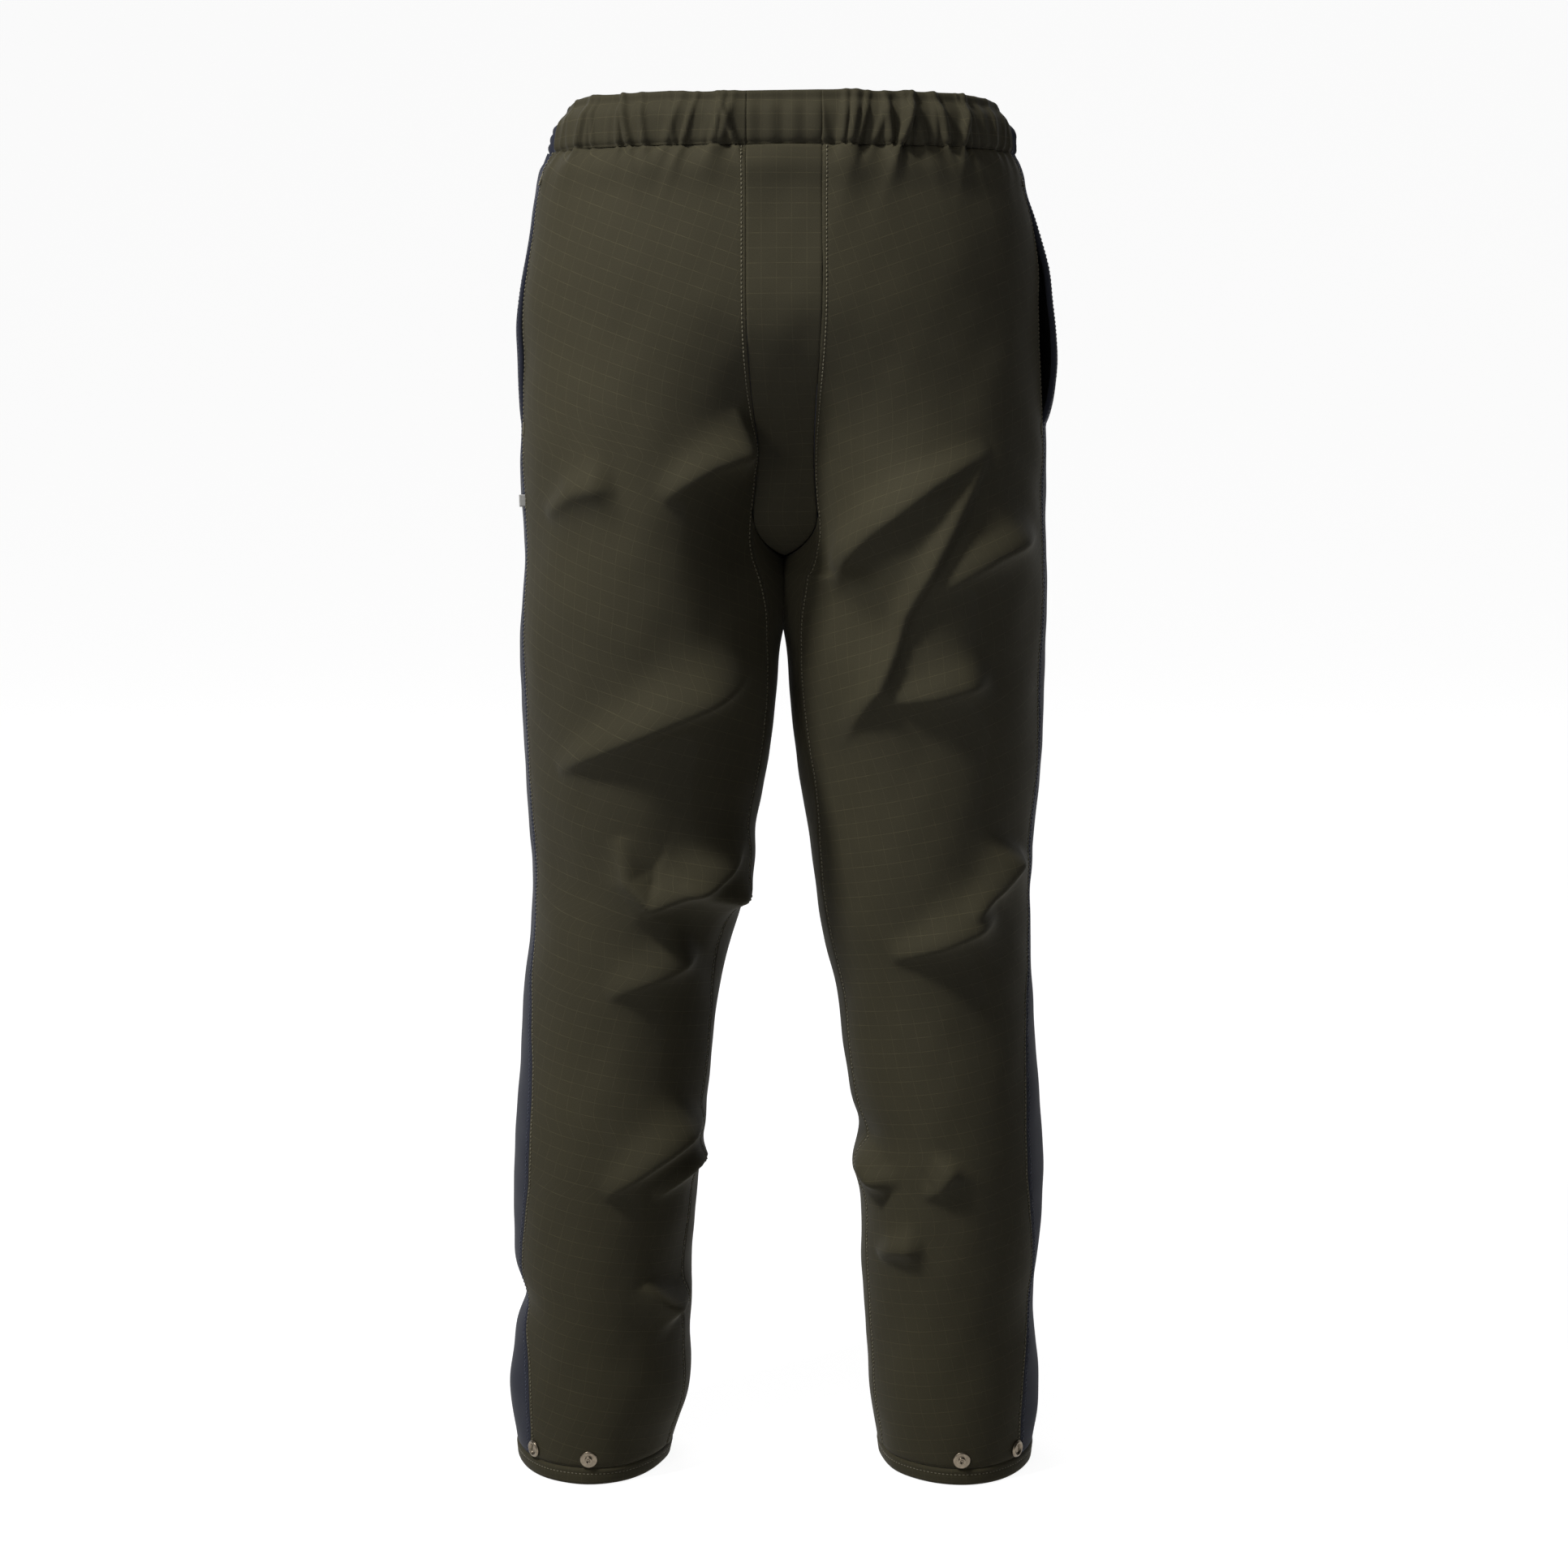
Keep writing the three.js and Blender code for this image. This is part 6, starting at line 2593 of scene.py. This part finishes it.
    def build_shield(self) -> None:
        """Build the cloth shield behind the zip."""
        out = self.tooth_in - 0.4 - 1 - 0.35
        x = np.linspace(-self.shield_half, self.shield_half, 40)
        z = np.linspace(-self.form.casing_height - 0.4, self.bottom, 120)
        gx, gz = np.meshgrid(x, z)
        y = out - 0.1 - 0.5 * (1 + np.sin(gz / 16 + gx / 30)) * (np.abs(gx) / self.shield_half) ** 2
        points = np.stack([gx, y, gz], -1)
        piece = grid_object("fly_shield", points, np.stack([gx, gz], -1))
        thicken(piece, self.shield_thickness)
        self.place(piece, NAVY, GARMENT, "fly_shield")
        declare_cut(piece, points, "hung", "waist_casing_front_left")


def resample(path: Array, count: int) -> Array:
    """Return a path's points spaced evenly, its corners rounded.

    Args:
        path: (n, 3) points.
        count: number of points to return.

    Returns:
        (count, 3) points.
    """
    run = distances(path)
    out = sampled(path, run, np.linspace(0, run[-1], count))
    for _ in range(3):
        out[1:-1] = (out[:-2] + 2 * out[1:-1] + out[2:]) / 4
    return out


# ---------------------------------------------------------------- waist tab


@dataclass
class WaistTab:
    """The cloth tab that crosses the fly, with its press stud."""

    cloth: Cloth
    height: float = 27
    sewn_from: float = -36
    stitch_line: float = -18
    overhang: float = 11
    thickness: float = 1.9
    lift: float = 4.6
    length_steps: int = 60
    width_steps: int = 26
    end_steps: int = 9
    stitch_inset: int = 3
    bend: tuple[float, float] = (-1.5, 3.5)
    part: PressStud = field(default_factory=PressStud)

    def snap_place(self) -> tuple[Array, Array]:
        """Return the waist snap's seat and outward direction, from the stud's box.

        Returns:
            The seat in millimetres and the direction.
        """
        low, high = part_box("waist_snap_stud")
        cap_low, cap_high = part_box("waist_snap_cap")
        seat = np.array((low + high) / 2) / MM
        away = np.array((cap_low + cap_high) / 2) / MM - seat
        return seat, unit(away)

    def build(self) -> None:
        """Build the tab, its stitches and both halves of its press stud."""
        seat, outward = self.snap_place()
        self.build_tab(seat, outward)
        self.build_snap(seat, outward)

    def build_tab(self, seat: Array, outward: Array) -> None:
        """Build the tab as one strip from its sewn end to over the snap.

        Args:
            seat: the snap's seat, millimetres.
            outward: the direction that it faces.
        """
        along = unit(np.cross(outward, [0.0, 0.0, 1.0])) * -1
        along = along if along[0] > 0 else -along
        snap_top = seat + outward * (self.lift + 0.2)
        root = np.array([self.sewn_from, self.stitch_line])
        root_y = [self.surface_y(x) for x in root]
        path = [
            (root[0], root_y[0] + 1.6, 0),
            (root[0] * 0.75 + root[1] * 0.25, root_y[0] + 2.2, 0),
            (root[1], root_y[1] + 1.6, 0),
            tuple(snap_top - along * 8.5),
            tuple(snap_top - along * 5),
            tuple(snap_top),
            tuple(snap_top + along * (self.overhang - 1)),
        ]
        long, wide = self.length_steps, self.width_steps
        line = resample(np.array([(x, y, 0) for x, y, _ in path]), long)
        middle = -self.cloth.form.casing_height / 2
        across = np.linspace(-0.5, 0.5, wide)
        rows = []
        for i, p in enumerate(line):
            end = max(0.0, (i - (long - 1 - self.end_steps)) / self.end_steps)
            width = self.height * (1 - 0.5 * (1 - math.sqrt(max(0.0, 1 - end**2))))
            z = middle + across * width
            tilt = (z - middle) * -self.cloth.form.front_gain / self.cloth.form.fly_length
            rows.append(np.stack([np.full(wide, p[0]), p[1] + tilt, z], -1))
        points = np.array(rows)
        edge = np.minimum(np.arange(wide), np.arange(wide - 1, -1, -1))
        points[..., 1] -= 0.5 * bell(edge, 1.0)[None, :]
        points[..., 1] += 0.25 * np.sin(points[..., 2] / 3.1) * np.sin(np.arange(long) / 9)[:, None]
        run = run_lengths(points.transpose(1, 0, 2)).T
        uv = np.stack([run, points[..., 2]], -1)
        piece = grid_object("waist_tab", points, uv, flip=True)
        thicken(piece, self.thickness)
        bpy.context.view_layer.update()
        piece.data.materials.append(OLIVE.material())
        self.apply_modifiers(piece)
        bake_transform(piece)
        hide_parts("waist_tab", "waist_tab_root")
        log.info("waist_tab: bends between %s and %s", GARMENT, TAB)
        self.sew(points, middle)

    def sew(self, points: Array, middle: float) -> None:
        """Sew the row of stitches round the tab, cut where the tab bends.

        Args:
            points: (rows, columns, 3) points of the tab's face.
            middle: level of its middle line.
        """
        inset, last = self.stitch_inset, self.length_steps - self.stitch_inset - 1
        sides = points[inset + 1 : last]
        end = points[last - 1, inset : self.width_steps - inset]
        ring = np.concatenate([sides[:, inset], end, sides[:, -1 - inset][::-1]])
        normal = np.tile([0.0, 1.0, 0.07], (len(ring), 1))
        loose = ring[:, 0] > self.stitch_line + self.bend[1]
        for name, pick, body in (
            ("tab_stitches", loose, TAB),
            ("tab_root_stitches", ~loose & (ring[:, 2] > middle), GARMENT),
            ("tab_root_stitches_low", ~loose & (ring[:, 2] < middle), GARMENT),
        ):
            row = stitch_row(name, ring[pick] + normal[pick] * 0.1, normal[pick])
            dress(row, OLIVE_THREAD, body)

    @staticmethod
    def apply_modifiers(piece: bpy.types.Object) -> None:
        """Turn a piece's modifiers into its mesh.

        Args:
            piece: the mesh object.
        """
        shaped = piece.evaluated_get(bpy.context.evaluated_depsgraph_get())
        mesh = bpy.data.meshes.new_from_object(shaped)
        piece.modifiers.clear()
        piece.data = mesh

    def surface_y(self, x: float) -> float:
        """Return how far forward the left casing's face stands at an x.

        Args:
            x: distance from the middle, millimetres.

        Returns:
            The distance along Y, millimetres.
        """
        z = np.array([-self.cloth.form.casing_height / 2])
        turns = np.linspace(0.5, 1, 200)
        line = self.cloth.form.shell(Side.LEFT, turns, np.full(200, z[0]))
        order = np.argsort(line[:, 0])
        return float(np.interp(x, line[order, 0], line[order, 1])) + 2.4

    def build_snap(self, seat: Array, outward: Array) -> None:
        """Build the stud on the casing, and the socket and cap on the tab.

        Args:
            seat: the snap's seat, millimetres.
            outward: the direction that it faces.
        """
        base = seat - outward * self.part.seat
        stud = join_parts("waist_snap_stud", self.part.stud(2.0))
        back = join_parts("waist_snap_stud_backing", self.part.backing(1.9))
        socket = join_parts("waist_snap_socket", self.part.socket(1.8))
        cap = join_parts("waist_snap_cap", self.part.cap())
        places = (
            (stud, standing(base, outward), GARMENT),
            (back, standing(base, outward), GARMENT),
            (socket, standing(base + outward * 4.2, -outward), TAB),
            (cap, standing(base + outward * (self.lift + self.thickness * 0.55), outward), TAB),
        )
        for piece, place, body in places:
            piece.matrix_world = place
            dress(piece, SNAP_METAL, body, piece.name.removesuffix("_finished"))


# ---------------------------------------------------------------- studio


@dataclass(frozen=True)
class Lamp:
    """One soft square light, aimed at a point."""

    name: str
    at: tuple[float, float, float]
    aim: tuple[float, float, float]
    size: float
    power: float

    def build(self) -> None:
        """Hang the light."""
        light = bpy.data.lights.new(self.name, "AREA")
        light.shape = "SQUARE"
        light.size = self.size
        light.energy = self.power
        holder = bpy.data.objects.new(self.name, light)
        holder.location = self.at
        way = Vector(self.aim) - Vector(self.at)
        holder.rotation_euler = way.to_track_quat("-Z", "Y").to_euler()
        bpy.context.scene.collection.objects.link(holder)


@dataclass
class Studio:
    """A pale sweep, soft lights and the camera behind the wearer."""

    floor_gap: float = 0.0005
    lamps: tuple[Lamp, ...] = (
        Lamp("key", (-1.45, -1.1, 1.8), (0, 0, -0.5), 0.4, 46),
        Lamp("top", (0.15, -0.7, 1.6), (0, -0.1, -0.5), 0.6, 3),
        Lamp("low", (-1.1, -1.5, -0.2), (-0.15, 0, -0.95), 0.5, 3),
        Lamp("rim", (-0.6, 1.8, 0.9), (0, 0, -0.4), 1.2, 8),
    )

    camera_at: tuple[float, float, float] = (0.0, -2.200, -0.208)
    pitch: float = math.radians(7.84)
    lens: float = 66.26
    room_light: float = 0.025
    floor_glow: float = 0.93

    def build(self, low: Vector) -> None:
        """Build the studio.

        Args:
            low: lowest corner of the part's box.
        """
        camera = bpy.data.cameras.new("camera")
        camera.lens = self.lens
        camera.sensor_width = 36
        camera.clip_end = 60
        holder = bpy.data.objects.new("camera", camera)
        holder.location = self.camera_at
        holder.rotation_euler = (math.pi / 2 - self.pitch, 0, 0)
        bpy.context.scene.collection.objects.link(holder)
        bpy.context.scene.camera = holder
        self.build_floor(low.z - self.floor_gap)
        for lamp in self.lamps:
            lamp.build()
        self.build_room()
        bpy.context.scene.view_settings.view_transform = "Standard"

    def build_room(self) -> None:
        """Surround the part with white that lights it only a little."""
        world = bpy.data.worlds.new("room")
        world.use_nodes = True
        w = Wires(world.node_tree)
        background = world.node_tree.nodes["Background"]
        seen = w.node("ShaderNodeLightPath").outputs["Is Camera Ray"]
        background.inputs["Color"].default_value = (1, 1, 1, 1)
        w.join(w.ranged(seen, 0, 1, self.room_light, 1.0), background.inputs["Strength"])
        bpy.context.scene.world = world

    def build_floor(self, level: float) -> None:
        """Build the floor and its curved rise to a far wall.

        Args:
            level: the floor's level, metres.
        """
        u = np.linspace(0, 1, 60)
        profile = []
        for t in u:
            if t < 0.4:
                profile.append((-9 + 14 * t / 0.4, 0.0))
            elif t < 0.7:
                a = (t - 0.4) / 0.3 * math.pi / 2
                profile.append((5 + 3 * math.sin(a), 3 - 3 * math.cos(a)))
            else:
                profile.append((8.0, 3 + 7 * (t - 0.7) / 0.3))
        x = np.linspace(-9, 9, 30)
        points = np.array([[(a, y, level + h) for a in x] for y, h in profile]) / MM
        piece = grid_object("floor_sweep", points, flip=True)
        made, w = new_material("floor_paper")
        shader = w.shader()
        grain = w.noise(w.node("ShaderNodeTexCoord").outputs["Object"], 3.0, 2)
        shade = w.tinted((0.4, 0.4, 0.4), w.ranged(grain, 0.3, 0.7, 0.985, 1.0))
        w.join(shade, shader.inputs["Base Color"])
        shader.inputs["Roughness"].default_value = 0.9
        shader.inputs["Emission Color"].default_value = (1, 1, 1, 1)
        shader.inputs["Emission Strength"].default_value = self.floor_glow
        piece.data.materials.append(made)
        piece.visible_diffuse = False
        piece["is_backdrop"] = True


# ---------------------------------------------------------------- assembly


def main() -> None:
    """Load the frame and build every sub-assembly."""
    logging.basicConfig(level=logging.INFO, format="%(name)s: %(message)s")
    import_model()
    cad_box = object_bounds()
    cloth = Cloth()
    Studio().build(cad_box[0])
    for assembly in (
        ShellPanels(cloth),
        HemBands(cloth),
        WaistCasing(cloth),
        SidePockets(cloth),
        SawPads(cloth),
        HemSnaps(cloth),
        Labels(cloth),
        FrontZip(cloth.form),
        WaistTab(cloth),
    ):
        assembly.build()
        log.info("%s finished", type(assembly).__name__)


if __name__ == "__main__":
    main()
